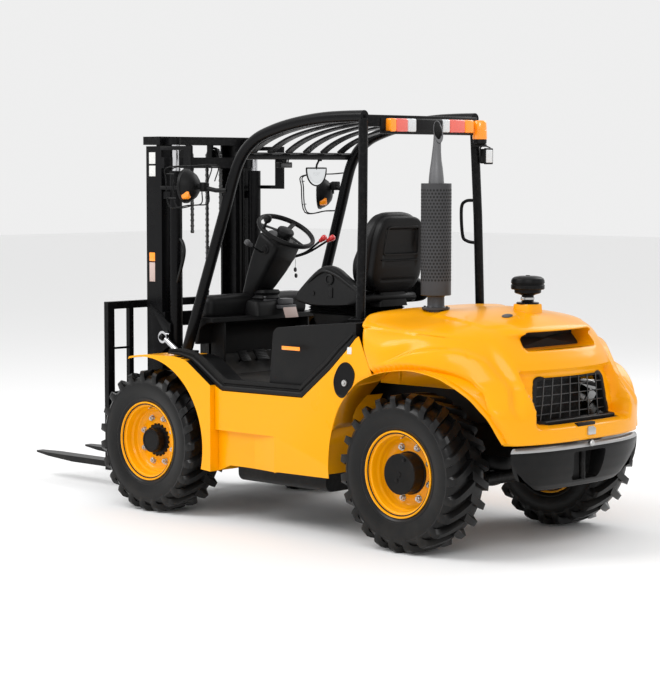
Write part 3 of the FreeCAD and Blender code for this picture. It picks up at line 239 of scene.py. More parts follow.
# a sphere pushed apart into a box: each octant of the sphere keeps its place at one corner
def roundBlock(low, high, radius, steps=2):
    low, high = np.asarray(low, float), np.asarray(high, float)
    q = np.linspace(0, pi / 2, steps + 1)
    lat = np.concatenate([q - pi / 2, q])[:, None]
    lon = np.concatenate([q + k * pi / 2 for k in range(4)])
    n = np.stack([np.cos(lat) * np.cos(lon), np.cos(lat) * np.sin(lon), np.sin(lat) + 0 * lon], -1)
    signs = (np.repeat([1, -1, -1, 1], steps + 1), np.repeat([1, 1, -1, -1], steps + 1),
             np.repeat([-1, 1], steps + 1)[:, None])
    corner = np.stack([np.broadcast_to(s, n.shape[:2]) for s in signs], -1)
    half = (high - low) / 2
    radius = min(radius, half.min() * 0.999)
    return capped((high + low) / 2 + corner * (half - radius) + n * radius)


def block(*values):
    return roundBlock(values[:3], values[3:6], *values[6:])


# rounded rectangle as (u, v) points
def roundedRect(halfU, halfV, radius, steps):
    t = np.linspace(0, pi / 2, steps)
    line = []
    for k, (su, sv) in enumerate(((1, 1), (-1, 1), (-1, -1), (1, -1))):
        angle = t + k * pi / 2
        line.append(np.stack([su * (halfU - radius) + radius * np.cos(angle),
                              sv * (halfV - radius) + radius * np.sin(angle)], -1))
    return np.concatenate(line)


# rings of rounded rectangles in the x-y plane: each row is (z, half x, half y, corner, middle y)
def stacked(rows, steps=4):
    return capped(np.stack([np.insert(roundedRect(hx, hy, r, steps) + [0, mid], 2, z, axis=1)
                            for z, hx, hy, r, mid in rows]))


# superellipsoid: x = a C(v) C(u), y = b C(v) S(u), z = c S(v), with C and S the cosine and sine to 2 / power
def pillow(half, powers, columns, rows):
    u = np.linspace(0, 2 * pi, columns, endpoint=False)[None]
    v = np.linspace(-pi / 2, pi / 2, rows + 2)[1:-1, None]
    bend = lambda value, power: np.sign(value) * np.abs(value) ** (2 / power)
    side = bend(np.cos(v), powers[0])
    return np.stack([half[0] * side * bend(np.cos(u), powers[1]), half[1] * side * bend(np.sin(u), powers[1]),
                     half[2] * bend(np.sin(v), powers[0]) + 0 * u], -1)


# a flat outline, kept in shape and grown or shrunk about its middle: rows are (place, share of its size),
# and axis is the one that the outline is square to
def bulged(outline, rows, axis=0):
    outline = np.asarray(outline, float)
    mid = outline.mean(0)
    return np.stack([np.insert(mid + (outline - mid) * share, axis, at, axis=1) for at, share in rows])


# faces inside an outline in the x-z plane are removed and the rim of the hole is moved onto the outline
def holed(points, faces, line):
    quads = faces[0]
    centre = points[quads].mean(1)
    a, b = line, np.roll(line, -1, axis=0)
    px, pz = centre[:, 0][:, None], centre[:, 2][:, None]
    crosses = (a[:, 1] > pz) != (b[:, 1] > pz)
    climb = np.where(b[:, 1] == a[:, 1], 1e-9, b[:, 1] - a[:, 1])
    atX = a[:, 0] + (pz - a[:, 1]) * (b[:, 0] - a[:, 0]) / climb
    inside = ((crosses & (px < atX)).sum(1) % 2 == 1) & (centre[:, 1] > 0.25)  # behind the axle only
    kept, gone = quads[~inside], quads[inside]
    rim = np.intersect1d(kept.ravel(), gone.ravel())
    flat = points[rim][:, [0, 2]]
    d = b - a
    t = np.clip(((flat[:, None] - a) * d).sum(-1) / (d * d).sum(-1), 0, 1)
    near = a + t[..., None] * d
    best = np.argmin(((near - flat[:, None]) ** 2).sum(-1), axis=1)
    points = points.copy()
    points[rim[:, None], [[0, 2]]] = near[np.arange(len(rim)), best]
    return points, [kept] + faces[1:]


# rounded trapezium, half widths at the top and foot: each corner is a quadratic curve
def windowLine(topHalf, footHalf, low, high, corner, steps=6):
    corners = [(topHalf, high), (-topHalf, high), (-footHalf, low), (footHalf, low)]
    t = np.linspace(0, 1, steps)[:, None]
    line = []
    for k in range(4):
        here, before, after = (np.array(corners[i % 4]) for i in (k, k - 1, k + 1))
        u = (before - here) / np.linalg.norm(before - here)
        v = (after - here) / np.linalg.norm(after - here)
        before, after = here + u * corner, here + v * corner
        line.append((1 - t) ** 2 * before + 2 * t * (1 - t) * here + t ** 2 * after)
    return np.concatenate(line)


# a band along a closed line in the x-z plane: section points are (outward, depth) pairs
def framed(line, section, depthAt):
    along = np.roll(line, -1, axis=0) - np.roll(line, 1, axis=0)
    along /= np.linalg.norm(along, axis=1, keepdims=True)
    out = np.stack([along[:, 1], -along[:, 0]], -1)
    out *= np.sign((out * (line - line.mean(0))).sum(-1, keepdims=True))
    section = np.asarray(section, float)
    flat = line[:, None] + out[:, None] * section[None, :, :1]
    y = depthAt(flat[..., 0], flat[..., 1]) + section[None, :, 1]
    return sheet(np.stack([flat[..., 0], y, flat[..., 1]], -1), True, True)


# a closed x-z line carried forward into a pocket: rows are (share of its size, depth past the surface);
# the pocket's sleeve and the back that closes it
def pocketParts(line, depth, rows):
    mid = line.mean(0)
    rings = bulged(line, [(0.0, share) for share, _ in rows], 1)
    rings[..., 1] = depth + np.array([d for _, d in rows])[:, None]
    back = np.stack([rings[-1], rings[-1] * [0, 1, 0] + [0, 0, mid[1]]])
    return sheet(rings, loopV=True), sheet(back, loopV=True)


# shader tree helpers: a value is either a number or the socket that it comes from
def newGroup(name, inputs, output):
    group = bpy.data.node_groups.new(name, "ShaderNodeTree")
    for label, value in inputs:
        group.interface.new_socket(label, in_out="INPUT", socket_type="NodeSocketFloat").default_value = value
    group.interface.new_socket(output, in_out="OUTPUT", socket_type="NodeSocketFloat")
    place = node(group, "ShaderNodeTexCoord").outputs["Object"]
    given, result = group.nodes.new("NodeGroupInput").outputs, group.nodes.new("NodeGroupOutput").inputs[0]
    return group, place, given, result


def node(tree, kind, links=None, **values):
    made = tree.nodes.new(kind)
    for key, value in values.items():
        if hasattr(made, key):
            setattr(made, key, value)
        else:
            made.inputs[key.replace("_", " ")].default_value = value
    for key, source in (links or {}).items():
        tree.links.new(source, made.inputs[key])
    return made


def noise(tree, vector, scale, detail, roughness=0.5):
    made = node(tree, "ShaderNodeTexNoise", {"Vector": vector}, Scale=scale, Detail=detail,
                Roughness=roughness)
    return made.outputs["Fac"]


def ramp(tree, source, low, high):
    made = node(tree, "ShaderNodeValToRGB", {"Fac": source})
    for element, (position, value) in zip(made.color_ramp.elements, (low, high)):
        element.position = position
        element.color = (value, value, value, 1)
    return made.outputs["Color"]


def maths(tree, operation, a, b, clamp=False):
    made = node(tree, "ShaderNodeMath", operation=operation, use_clamp=clamp)
    for socket, value in zip(made.inputs, (a, b)):
        if isinstance(value, (int, float)):
            socket.default_value = value
        else:
            tree.links.new(value, socket)
    return made.outputs[0]


def mixColour(tree, factor, a, b):
    made = tree.nodes.new("ShaderNodeMix")
    made.data_type = "RGBA"
    for socket, value in ((made.inputs[0], factor), (made.inputs[6], a), (made.inputs[7], b)):
        if hasattr(value, "links"):
            tree.links.new(value, socket)
        else:
            socket.default_value = (*value[:3], 1)
    return made.outputs[2]


# dust mask: most near the ground, broken up by two sizes of noise
def dustGroup():
    group, place, inlet, outlet = newGroup("roadDust", [("Amount", 0.3), ("Height", 0.5)], "Mask")
    height = node(group, "ShaderNodeSeparateXYZ", {0: place}).outputs["Z"]
    low = node(group, "ShaderNodeMapRange", {"Value": height, "From Max": inlet["Height"]})
    for label, value in (("From Min", 0.0), ("To Min", 1.0), ("To Max", 0.0)):
        low.inputs[label].default_value = value
    patches = ramp(group, noise(group, place, 9.0, 6.0, 0.62), (0.42, 0.1), (0.7, 1.0))
    mask = maths(group, "MULTIPLY", patches, low.outputs["Result"])
    mask = maths(group, "MULTIPLY", mask, maths(group, "ADD", noise(group, place, 90.0, 3.0), 0.35))
    group.links.new(maths(group, "MULTIPLY", mask, inlet["Amount"], True), outlet)
    return group


# worn edges: sharp convex places, broken up by noise
def wearGroup():
    group, place, inlet, outlet = newGroup("edgeWear", [("Amount", 0.3)], "Mask")
    point = node(group, "ShaderNodeNewGeometry").outputs["Pointiness"]
    edge = ramp(group, point, (0.52, 0.0), (0.60, 1.0))
    rub = ramp(group, noise(group, place, 55.0, 5.0, 0.6), (0.48, 0.0), (0.62, 1.0))
    mask = maths(group, "MULTIPLY", maths(group, "MULTIPLY", edge, rub), inlet["Amount"], True)
    group.links.new(mask, outlet)
    return group


# moulded grain height: cells and a fine noise
def grainGroup():
    group, place, inlet, outlet = newGroup("mouldGrain", [("Scale", 500.0)], "Height")
    cells = node(group, "ShaderNodeTexVoronoi", {"Vector": place, "Scale": inlet["Scale"]})
    fine = node(group, "ShaderNodeTexNoise", {"Vector": place, "Scale": inlet["Scale"]}, Detail=3.0)
    fine = maths(group, "MULTIPLY", fine.outputs["Fac"], 0.6)
    group.links.new(maths(group, "ADD", cells.outputs["Distance"], fine), outlet)
    return group


dust, wear, grain = dustGroup(), wearGroup(), grainGroup()
finishLooks = {"dust": (0.30, 0.25, 0.19), "worn": (0.10, 0.10, 0.10), "coatRoughness": 0.12,
               "roughSpread": 0.12, "dustRoughness": 0.5, "rippleScale": 260.0}


# one paint, plastic or metal: base colour with slow shade changes, dust, worn edges and grain or ripple
def finish(name, colour, roughness, shade=0.0, coat=0.0, metal=0.0, dusty=0.0, dustTop=0.6, worn=0.0,
           grainScale=0.0, grainDepth=0.0, patch=6.0, emission=0.0, ripple=0.0, specular=0.5):
    look = finishLooks
    made = bpy.data.materials.new(name)
    made.use_nodes = True
    tree = made.node_tree
    shader = tree.nodes["Principled BSDF"]
    for label, value in (("Base Color", (*colour, 1)), ("Roughness", roughness), ("Metallic", metal),
                         ("Specular IOR Level", specular), ("Coat Weight", coat),
                         ("Coat Roughness", look["coatRoughness"])):
        shader.inputs[label].default_value = value
    if emission:
        shader.inputs["Emission Color"].default_value = (*colour, 1)
        shader.inputs["Emission Strength"].default_value = emission
    if shade or worn or dusty or ripple:
        place = node(tree, "ShaderNodeTexCoord").outputs["Object"]
    if shade or worn or dusty:
        clouds = noise(tree, place, patch, 5.0, 0.55)
        base = mixColour(tree, clouds, [c * (1 - shade) for c in colour],
                         [min(c * (1 + shade), 1.0) for c in colour])
        spread = maths(tree, "MULTIPLY", clouds, look["roughSpread"])
        rough = maths(tree, "ADD", spread, roughness - look["roughSpread"] / 2, True)
        if worn:
            mask = node(tree, "ShaderNodeGroup", node_tree=wear, Amount=worn).outputs["Mask"]
            base = mixColour(tree, mask, base, look["worn"])
        if dusty:
            mask = node(tree, "ShaderNodeGroup", node_tree=dust, Amount=dusty, Height=dustTop).outputs["Mask"]
            base = mixColour(tree, mask, base, look["dust"])
            rough = maths(tree, "ADD", rough, maths(tree, "MULTIPLY", mask, look["dustRoughness"]), True)
        tree.links.new(base, shader.inputs["Base Color"])
        tree.links.new(rough, shader.inputs["Roughness"])
    bump = None
    if grainScale:
        height = node(tree, "ShaderNodeGroup", node_tree=grain, Scale=grainScale).outputs["Height"]
        bump = node(tree, "ShaderNodeBump", {"Height": height}, Strength=0.5, Distance=grainDepth)
    elif ripple:
        height = noise(tree, place, look["rippleScale"], 2.0)
        bump = node(tree, "ShaderNodeBump", {"Height": height}, Strength=0.25, Distance=ripple)
    if bump:
        tree.links.new(bump.outputs["Normal"], shader.inputs["Normal"])
    return made


finishes = {
    "yellow": finish("yellowPaint", (0.94, 0.385, 0.0), 0.30, 0.02, coat=0.24, dusty=0.10, dustTop=0.4,
                     patch=2.2, specular=0.14),
    "black": finish("blackPaint", (0.004, 0.004, 0.0043), 0.34, 0.25, dusty=0.04, dustTop=0.8, worn=0.12,
                    ripple=0.0003, specular=0.13),
    "mast": finish("mastPaint", (0.0035, 0.0035, 0.004), 0.28, 0.2, worn=0.08, ripple=0.0003, specular=0.13),
    "cast": finish("castCharcoal", (0.0045, 0.0045, 0.0048), 0.34, 0.2, dusty=0.04, dustTop=0.7, worn=0.08,
                   grainScale=210.0, grainDepth=0.0004, specular=0.16),
    "bright": finish("brushedTrim", (0.42, 0.42, 0.42), 0.35, 0.1, metal=0.7, patch=20.0),
    "plastic": finish("mouldedPlastic", (0.0055, 0.0055, 0.0058), 0.42, 0.15, dusty=0.05, dustTop=1.2,
                      grainScale=900.0, grainDepth=0.0003, specular=0.17),
    "pale": finish("greyPlastic", (0.075, 0.075, 0.078), 0.42, 0.12, grainScale=900.0, grainDepth=0.0002),
    "vinyl": finish("seatVinyl", (0.005, 0.005, 0.0053), 0.38, 0.2, grainScale=620.0, grainDepth=0.0005,
                    specular=0.22),
    "rubber": finish("tyreRubber", (0.0035, 0.0035, 0.0037), 0.32, 0.25, dusty=0.035, dustTop=0.9, patch=14.0,
                     grainScale=320.0, grainDepth=0.0003, specular=0.24),
    "exhaust": finish("exhaustSteel", (0.055, 0.055, 0.058), 0.42, 0.2, metal=0.35, patch=10.0, specular=0.3),
    "pipe": finish("pipeSteel", (0.16, 0.16, 0.165), 0.38, 0.2, metal=0.6, patch=10.0),
    "chrome": finish("groundChrome", (0.72, 0.72, 0.74), 0.12, 0.05, metal=1.0),
    "steel": finish("oiledSteel", (0.09, 0.09, 0.09), 0.38, 0.3, metal=0.8, patch=30.0),
    "zinc": finish("zincPlate", (0.52, 0.52, 0.51), 0.3, 0.15, metal=1.0, patch=40.0),
    "engine": finish("engineGrey", (0.02, 0.02, 0.021), 0.6, 0.25, specular=0.25),
    # a little glow: the lamps' own light on the lenses, painted light on the amber plates that also use it
    "amber": finish("amberLens", (0.95, 0.28, 0.01), 0.12, coat=0.5, emission=0.25),
    "red": finish("redLens", (0.72, 0.13, 0.10), 0.18, coat=0.4, emission=0.2),
    "knob": finish("redKnob", (0.70, 0.03, 0.03), 0.25, coat=0.4),
    "white": finish("whitePlate", (0.70, 0.70, 0.68), 0.4),
    "label": finish("labelPlate", (0.55, 0.42, 0.38), 0.5),
    "lens": finish("lampGlass", (0.66, 0.68, 0.69), 0.05, coat=0.6, emission=0.1),
    "mat": finish("floorMat", (0.012, 0.012, 0.0125), 0.6, 0.25, dusty=0.2, dustTop=1.4, patch=9.0,
                  grainScale=420.0, grainDepth=0.0006, specular=0.25),
    "mirror": finish("mirrorGlass", (0.85, 0.87, 0.88), 0.03, metal=1.0),
    # near black that paints the shade inside openings: the scoop's back, the guard's holes and the pipe's
    # bore
    "paintedShade": finish("paintedShadeInside", (0.004, 0.004, 0.004), 0.8),
}
print("finishes made:", len(finishes))

# CAD nodes that are shown as they are, by finish
nodeFinish = {
    "black": "front_axle rear_axle rear_knuckle_left rear_knuckle_right radiator",
    "mast": "roof_bars", "engine": "engine_block", "chrome": "lift_rods tilt_rods steering_rod",
}
for finishName, names in nodeFinish.items():
    for name in names.split():
        mesh = nodes[name].data
        mesh.materials.clear()
        mesh.materials.append(finishes[finishName])

# CAD nodes that get rounded edges, by finish and rounding
softNodes = (
    ("front_fender_left front_fender_right side_panel_left side_panel_right", "yellow", 0.0025),
    ("chassis_frame side_tanks fork_left fork_right tilt_barrels", "black", 0.003),
    ("outer_mast lift_cylinders inner_mast fork_carriage load_backrest", "mast", 0.002),
    ("dash_cowl", "plastic", 0.004),
    ("seat_deck", "plastic", 0.006),
    ("floor_plate", "mat", 0.003),
)
for names, finishName, bevel in softNodes:
    softened(names, finishName, bevel)

trimLooks = {"sideX": 0.625, "frontY": -1.6, "low": 0.7, "proud": 0.001}


# black trim over the faces of each front fender that look into the doorway, a little proud of them
def innerTrim(name):
    look = trimLooks
    work = bmesh.new()
    work.from_mesh(bpy.data.objects[name + "_looks"].data)
    work.faces.ensure_lookup_table()
    x, y, z = (np.array([f.calc_center_median() for f in work.faces]) - [0, shift, 0]).T
    outside = (np.abs(x) > look["sideX"]) | (y < look["frontY"]) | (z < look["low"])
    bmesh.ops.delete(work, geom=[work.faces[i] for i in np.flatnonzero(outside)], context="FACES")
    mesh = bpy.data.meshes.new(name + "_inner")
    work.to_mesh(mesh)
    work.free()
    place, out = np.empty((2, len(mesh.vertices) * 3))
    mesh.vertices.foreach_get("co", place)
    mesh.vertices.foreach_get("normal", out)
    mesh.vertices.foreach_set("co", place + look["proud"] * out)
    meshObject(name + "_inner", mesh, "black", "chassis", 38)


innerTrim("front_fender_left")
innerTrim("front_fender_right")
print("softened copies made")

# tyres: carcass lathed from a closed section, lugs swept from the centre line over the shoulder
tyreLooks = {
    "outer": [(0.100, 0.1965), (0.112, 0.1975), (0.1135, 0.213), (0.117, 0.221), (0.1225, 0.228),
              (0.1235, 0.234), (0.1215, 0.239), (0.1275, 0.262), (0.1312, 0.285), (0.1315, 0.303),
              (0.1300, 0.318), (0.1318, 0.3215), (0.1318, 0.3255), (0.1270, 0.332), (0.120, 0.342),
              (0.108, 0.3495), (0.080, 0.354), (0.040, 0.356), (0, 0.3565)],
    "inner": [(0, 0.345), (0.09, 0.338), (0.117, 0.30), (0.115, 0.25), (0.095, 0.215)],
    "lugs": 23, "steps": 10, "lag": 0.085, "lagRadius": 0.37, "past": 0.009, "flatWidth": 0.113,
    "bendFrom": 0.58, "bendTo": 0.88, "widerMiddle": 0.35, "crown": 0.0015,
    "top": {"half": 0.0165, "radius": 0.3555, "bend": (0.0285, 0.029), "drop": 0.026, "taper": 0.35},
    "foot": {"half": 0.024, "radius": 0.332, "bend": (0.0255, 0.021), "drop": 0.028, "taper": 0.25},
}


def carcassPart(centre):
    outer, inner = np.array(tyreLooks["outer"]), np.array(tyreLooks["inner"])
    loop = [outer, (outer * [-1, 1])[-2::-1], (inner * [-1, 1])[::-1], inner[1:], outer[:1]]
    return turned(np.concatenate(loop), centre, "x", 96)


# lug section at s, 0 on the centre line and 1 on the sidewall: foot and top follow two rounded shoulders,
# and the lug lags behind its centre by lag * (1 - (1 - s)^1.6) along the tread
def lugParts(centre, side):
    look = tyreLooks
    s = np.linspace(0, 1, look["steps"])
    flat = np.clip(s / look["bendFrom"], 0, 1)
    turn = np.clip((s - look["bendFrom"]) / (look["bendTo"] - look["bendFrom"]), 0, 1) * pi / 2
    drop = np.clip((s - look["bendTo"]) / (1 - look["bendTo"]), 0, 1)
    lag = look["lag"] * (1 - (1 - s) ** 1.6)

    def edge(name):
        line = look[name]
        across = -look["past"] + look["flatWidth"] * flat + line["bend"][0] * np.sin(turn)
        radius = line["radius"] + line["bend"][1] * np.cos(turn) - line["drop"] * drop
        half = line["half"] * (1 + look["widerMiddle"] * (1 - flat)) * (1 - line["taper"] * drop)
        return across, radius, half

    (topX, topR, top), (footX, footR, foot) = edge("top"), edge("foot")
    topR = topR - look["crown"] * flat ** 2
    across = side * np.stack([footX, topX, topX, footX], -1)
    radius = np.stack([footR, topR, topR, footR], -1)
    turnAt = (lag[:, None] + np.stack([-foot, -top, top, foot], -1)) / look["lagRadius"]
    step = 2 * pi / look["lugs"]
    angle = turnAt + (np.arange(look["lugs"]) * step + (step / 2 if side < 0 else 0))[:, None, None]
    across = np.broadcast_to(across, angle.shape)
    grid = np.stack([across, radius * np.sin(angle), radius * np.cos(angle)], -1)
    return repeated(grid.reshape(look["lugs"], -1, 3) + centre, capped(grid[0])[1])


# rim section from the outer flange over the bead seat and the well to the disc, and back inside; the disc
# stands at its own offset, so points on it are counted from there
rimLooks = {
    "face": [(0.112, 0.2142), (0.1175, 0.214), (0.1205, 0.2115), (0.1205, 0.207), (0.116, 0.2045),
             (0.108, 0.2025), (0.103, 0.198), (0.099, 0.188), (0.094, 0.1855), (0.070, 0.184),
             (0.064, 0.1815), (0.059, 0.176), (0.054, 0.1735), (0.045, 0.172), (0.040, 0.169)],
    "disc": [(0.012, 0.164), (0.004, 0.158), (0, 0.150), (0, 0.118), (0.004, 0.112), (0.004, 0.03),
             (-0.010, 0.03), (-0.010, 0.150), (-0.007, 0.162)],
    "back": [(-0.04, 0.1645), (-0.06, 0.176), (-0.10, 0.186), (-0.110, 0.202), (-0.119, 0.208),
             (-0.119, 0.214), (-0.112, 0.2142), (-0.109, 0.196), (-0.07, 0.192), (-0.045, 0.172),
             (0.045, 0.1735), (0.07, 0.192), (0.109, 0.196), (0.112, 0.2142)],
    "nut": [(0, 0), (0, 0.0189), (0.003, 0.0189), (0.003, 0.014), (0.014, 0.014), (0.016, 0.0119),
            (0.016, 0.007), (0.023, 0.0063), (0.024, 0)],
    "nuts": 8, "firstNut": 0.36,
    "valve": [(0.10, 0.03, 0.190), (0.112, 0.03, 0.184), (0.126, 0.03, 0.181)],
}
wheelLooks = {"front": {"half": vehicle["frontTrackHalf"], "y": -vehicle["wheelbase"], "disc": 0.027,
                        "nutRing": 0.124},
              "rear": {"half": vehicle["rearTrackHalf"], "y": 0.0, "disc": 0.022, "nutRing": 0.134}}
hubLooks = {
    "drum": [(0.034, 0.106), (0.036, 0.1005), (0.1035, 0.100), (0.107, 0.0965), (0.1065, 0.090),
             (0.1065, 0.014), (0.110, 0.012), (0.1105, 0.0)],
    "plug": [(0.105, 0.010), (0.110, 0.010), (0.1115, 0.007), (0.1115, 0)],
    "plugs": ((0.4, 0.078), (3.6, 0.035)),
    "teeth": 20, "toothRadius": 0.086, "toothHeight": 0.0045, "toothPoints": 160,
    "cap": [(0.03, 0.066), (0.086, 0.065), (0.0925, 0.060), (0.093, 0.052), (0.090, 0.050), (0.090, 0.0)],
}


# rear hub: a plain drum with two plugs in its face
def drumParts(centre, side, disc):
    look = hubLooks
    parts = [turned(np.array([(disc, 0.106)] + look["drum"]) * [side, 1], centre, "x", 64)]
    for angle, r in look["plugs"]:
        at = centre + [0, r * math.sin(angle), r * math.cos(angle)]
        parts.append(turned(np.array(look["plug"]) * [side, 1], at, "x", 10))
    return parts


# front hub: a toothed ring, its radius a clipped sine of the angle, round a cap
def toothedParts(centre, side, disc):
    look = hubLooks
    n = look["toothPoints"]
    angle = np.linspace(0, 2 * pi, n, endpoint=False)
    wave = look["toothRadius"] + look["toothHeight"] * np.clip(3.5 * np.sin(angle * look["teeth"]), -1, 1)
    rows = ((disc, wave), (0.040, wave), (0.043, wave - 0.004), (0.043, wave * 0 + 0.066))
    ring = [np.stack([np.full(n, side * x), r * np.sin(angle), r * np.cos(angle)], -1) for x, r in rows]
    ring = np.stack(ring)
    return [sheet(ring + centre, loopV=True), turned(np.array(look["cap"]) * [side, 1], centre, "x", 48)]


def makeWheel(end, sideName, side):
    look, place = rimLooks, wheelLooks[end]
    centre = np.array([side * place["half"], place["y"], vehicle["axleHeight"]])
    label, disc = end + "_" + sideName, place["disc"]
    body = "wheel_" + label
    tyreParts = [carcassPart(centre), lugParts(centre, 1), lugParts(centre, -1)]
    tyre = meshPiece("tyre_" + label + "_lugged", tyreParts, "rubber", body, 28)
    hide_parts("tyre_" + label)
    profile = look["face"] + [(disc + x, r) for x, r in look["disc"]] + look["back"]
    rim = meshPiece("rim_" + label + "_pressed", [turned(np.array(profile) * [side, 1], centre, "x", 72)],
                    "yellow", body, 35)
    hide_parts("rim_" + label)
    hubParts = drumParts(centre, side, disc) if end == "rear" else toothedParts(centre, side, disc)
    hub = meshPiece("hub_" + label, hubParts, "black", body, 35)
    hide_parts("rim_" + label)
    nut, faces = turned(look["nut"], (0, 0, 0), "x", 12)
    angle, r = np.arange(look["nuts"]) * 2 * pi / look["nuts"] + look["firstNut"], place["nutRing"]
    places = np.stack([0 * angle + disc * side, r * np.sin(angle), r * np.cos(angle)], -1) + centre
    valve = tube(np.array(look["valve"]) * [side, 1, 1] + centre, [0.004, 0.0045, 0.003], 8, (0, 1, 0))
    nuts = repeated(nut[None] * [side, 1, 1] + places[:, None], faces)
    meshPiece("nuts_" + label, [nuts, valve], "zinc", body, 35)


for sideName, side in (("left", 1), ("right", -1)):
    makeWheel("front", sideName, side)
    makeWheel("rear", sideName, side)
print("wheels made")


# hood: plan at each height is a straight side that runs into a superellipse round the tail; the sides lean in
# over a crown, two flares stand out over the arches and the tail's middle is pressed in round the grille
hoodLooks = {"crownFoot": 0.83, "top": 1.172, "foot": 0.551, "half": 0.69, "reach": 0.60, "power": 2.1,
             "footSpread": 0.03, "footPower": 0.8, "spreadTo": (0.85, 0.17), "seamLean": 0.481,
             "seamAt": (-0.182, 0.812), "planHeight": 0.72, "archAcross": 0.40, "probeTop": 0.95,
             "columns": 190, "frontColumns": 34, "rows": 86, "wall": 0.004}
archLip = smoothPath([(-0.503, 0.40), (-0.47, 0.584), (-0.422, 0.688), (-0.354, 0.763), (-0.293, 0.812),
                      (-0.206, 0.848), (-0.134, 0.868), (-0.064, 0.880), (0.005, 0.889), (0.069, 0.891),
                      (0.133, 0.885), (0.196, 0.875), (0.259, 0.860), (0.316, 0.835), (0.363, 0.804),
                      (0.405, 0.768), (0.444, 0.716), (0.469, 0.679), (0.486, 0.641), (0.502, 0.598),
                      (0.520, 0.551)], 6)
flareCrest = np.array([(-0.16, 0.90), (-0.06, 0.931), (0.004, 0.959), (0.069, 0.982), (0.132, 0.993),
                       (0.196, 0.999), (0.258, 0.993), (0.316, 0.977), (0.362, 0.951), (0.384, 0.928),
                       (0.443, 0.858), (0.479, 0.820), (0.510, 0.763), (0.538, 0.715), (0.562, 0.675)])
# half width of the hood's front edge at each height
frontEdge = smoothPath([(0.55, 0.667), (0.83, 0.667), (0.93, 0.665), (1.01, 0.654), (1.06, 0.630),
                        (1.095, 0.600), (1.125, 0.570), (1.146, 0.535), (1.156, 0.480), (1.162, 0.38),
                        (1.166, 0.22), (1.169, 0.05)], 6)


def seamY(z):
    y0, z0 = hoodLooks["seamAt"]
    return y0 - hoodLooks["seamLean"] * (z - z0)


# half width over the axle, reach and power of the plan at height z: half (1 - t^6)^1.2 up the crown
def hoodPlan(z):
    look = hoodLooks
    t = np.clip((z - look["crownFoot"]) / (look["top"] - look["crownFoot"]), 0, 1)
    w = fall(z, *look["spreadTo"])
    half = look["half"] * (1 - t ** 6) ** 1.2 + look["footSpread"] * w
    reach = look["reach"] * (1 - 0.44 * t - 0.36 * t ** 12) + look["footSpread"] * w
    return half, reach, look["power"] + look["footPower"] * w


# superellipse: x = half cos(a)^(2 / power), y = reach sin(a)^(2 / power)
def tailPoint(a, z):
    half, reach, power = hoodPlan(z)
    c, s = np.cos(a), np.clip(np.sin(a), 0, 1)
    x = np.sign(c) * half * np.abs(c) ** (2 / power)
    return np.clip(x, -hoodLooks["half"], hoodLooks["half"]), reach * s ** (2 / power)


# the lowest height of each column of the tail is where it leaves the arch
def archHeights(a):
    look = hoodLooks
    probe = np.linspace(look["foot"], look["probeTop"], 900)
    x, y = tailPoint(a[:, None], probe[None])
    below = probe[None] < np.interp(y, archLip[:, 0], archLip[:, 1], right=0.0)
    below &= np.abs(x) > look["archAcross"]
    return np.where(below.any(1), probe[len(probe) - 1 - np.argmax(below[:, ::-1], axis=1)], look["foot"])


# columns evenly spaced along the plan, rows up the crown's section: front part, tail, front part
def hoodGrid():
    look = hoodLooks
    fine = np.linspace(0, pi, 4000)
    run = runLength(*tailPoint(fine, look["planHeight"]))
    a = np.interp(np.linspace(0, run[-1], look["columns"]), run, fine)
    zTop = look["crownFoot"] + 0.985 * (look["top"] - look["crownFoot"])
    heights = np.linspace(look["foot"], zTop, 3000)
    run = runLength(hoodPlan(heights)[0], heights)
    fraction = np.interp(np.linspace(0, run[-1], look["rows"]), run, heights) - look["foot"]
    fraction /= fraction[-1]
    low = archHeights(a)[:, None]
    z = low + (zTop - low) * fraction
    x, y = tailPoint(a[:, None], z)
    share = np.linspace(0, 1, look["frontColumns"], endpoint=False)
    lowFront = np.full(look["frontColumns"], 0.86)
    for _ in range(30):  # settles on the height where the seam meets the arch's lip
        lowFront = np.interp(seamY(lowFront) * (1 - share), archLip[:, 0], archLip[:, 1])
    zFront = lowFront[:, None] + (zTop - lowFront)[:, None] * fraction
    yFront = seamY(zFront) * (1 - share)[:, None]
    half = np.minimum(hoodPlan(zFront)[0], look["half"])
    front = np.interp(zFront, frontEdge[:, 0], frontEdge[:, 1])
    xFront = half + (front - half) * ((1 - share) ** 2)[:, None]
    return (np.concatenate([xFront, x, -xFront[::-1]]), np.concatenate([yFront, y, yFront[::-1]]),
            np.concatenate([zFront, z, zFront[::-1]]))


# depth of the tail's recess below the plan, the shoulder crease and the edge of the raised middle
recessDepth = np.array([(0.626, 0.0), (0.646, 0.112), (0.75, 0.095), (0.85, 0.064), (0.873, 0.046),
                        (0.890, 0.012), (0.93, 0.0)])
shoulderLine = np.array([(-0.50, 1.086), (-0.36, 1.081), (-0.245, 1.077), (-0.04, 1.065), (0.13, 1.055),
                         (0.22, 1.046), (0.327, 1.017), (0.368, 1.000)])
panelEdge = np.array([(-0.10, 0.345), (0.04, 0.370), (0.19, 0.405), (0.28, 0.385), (0.36, 0.27),
                      (0.42, 0.21)])
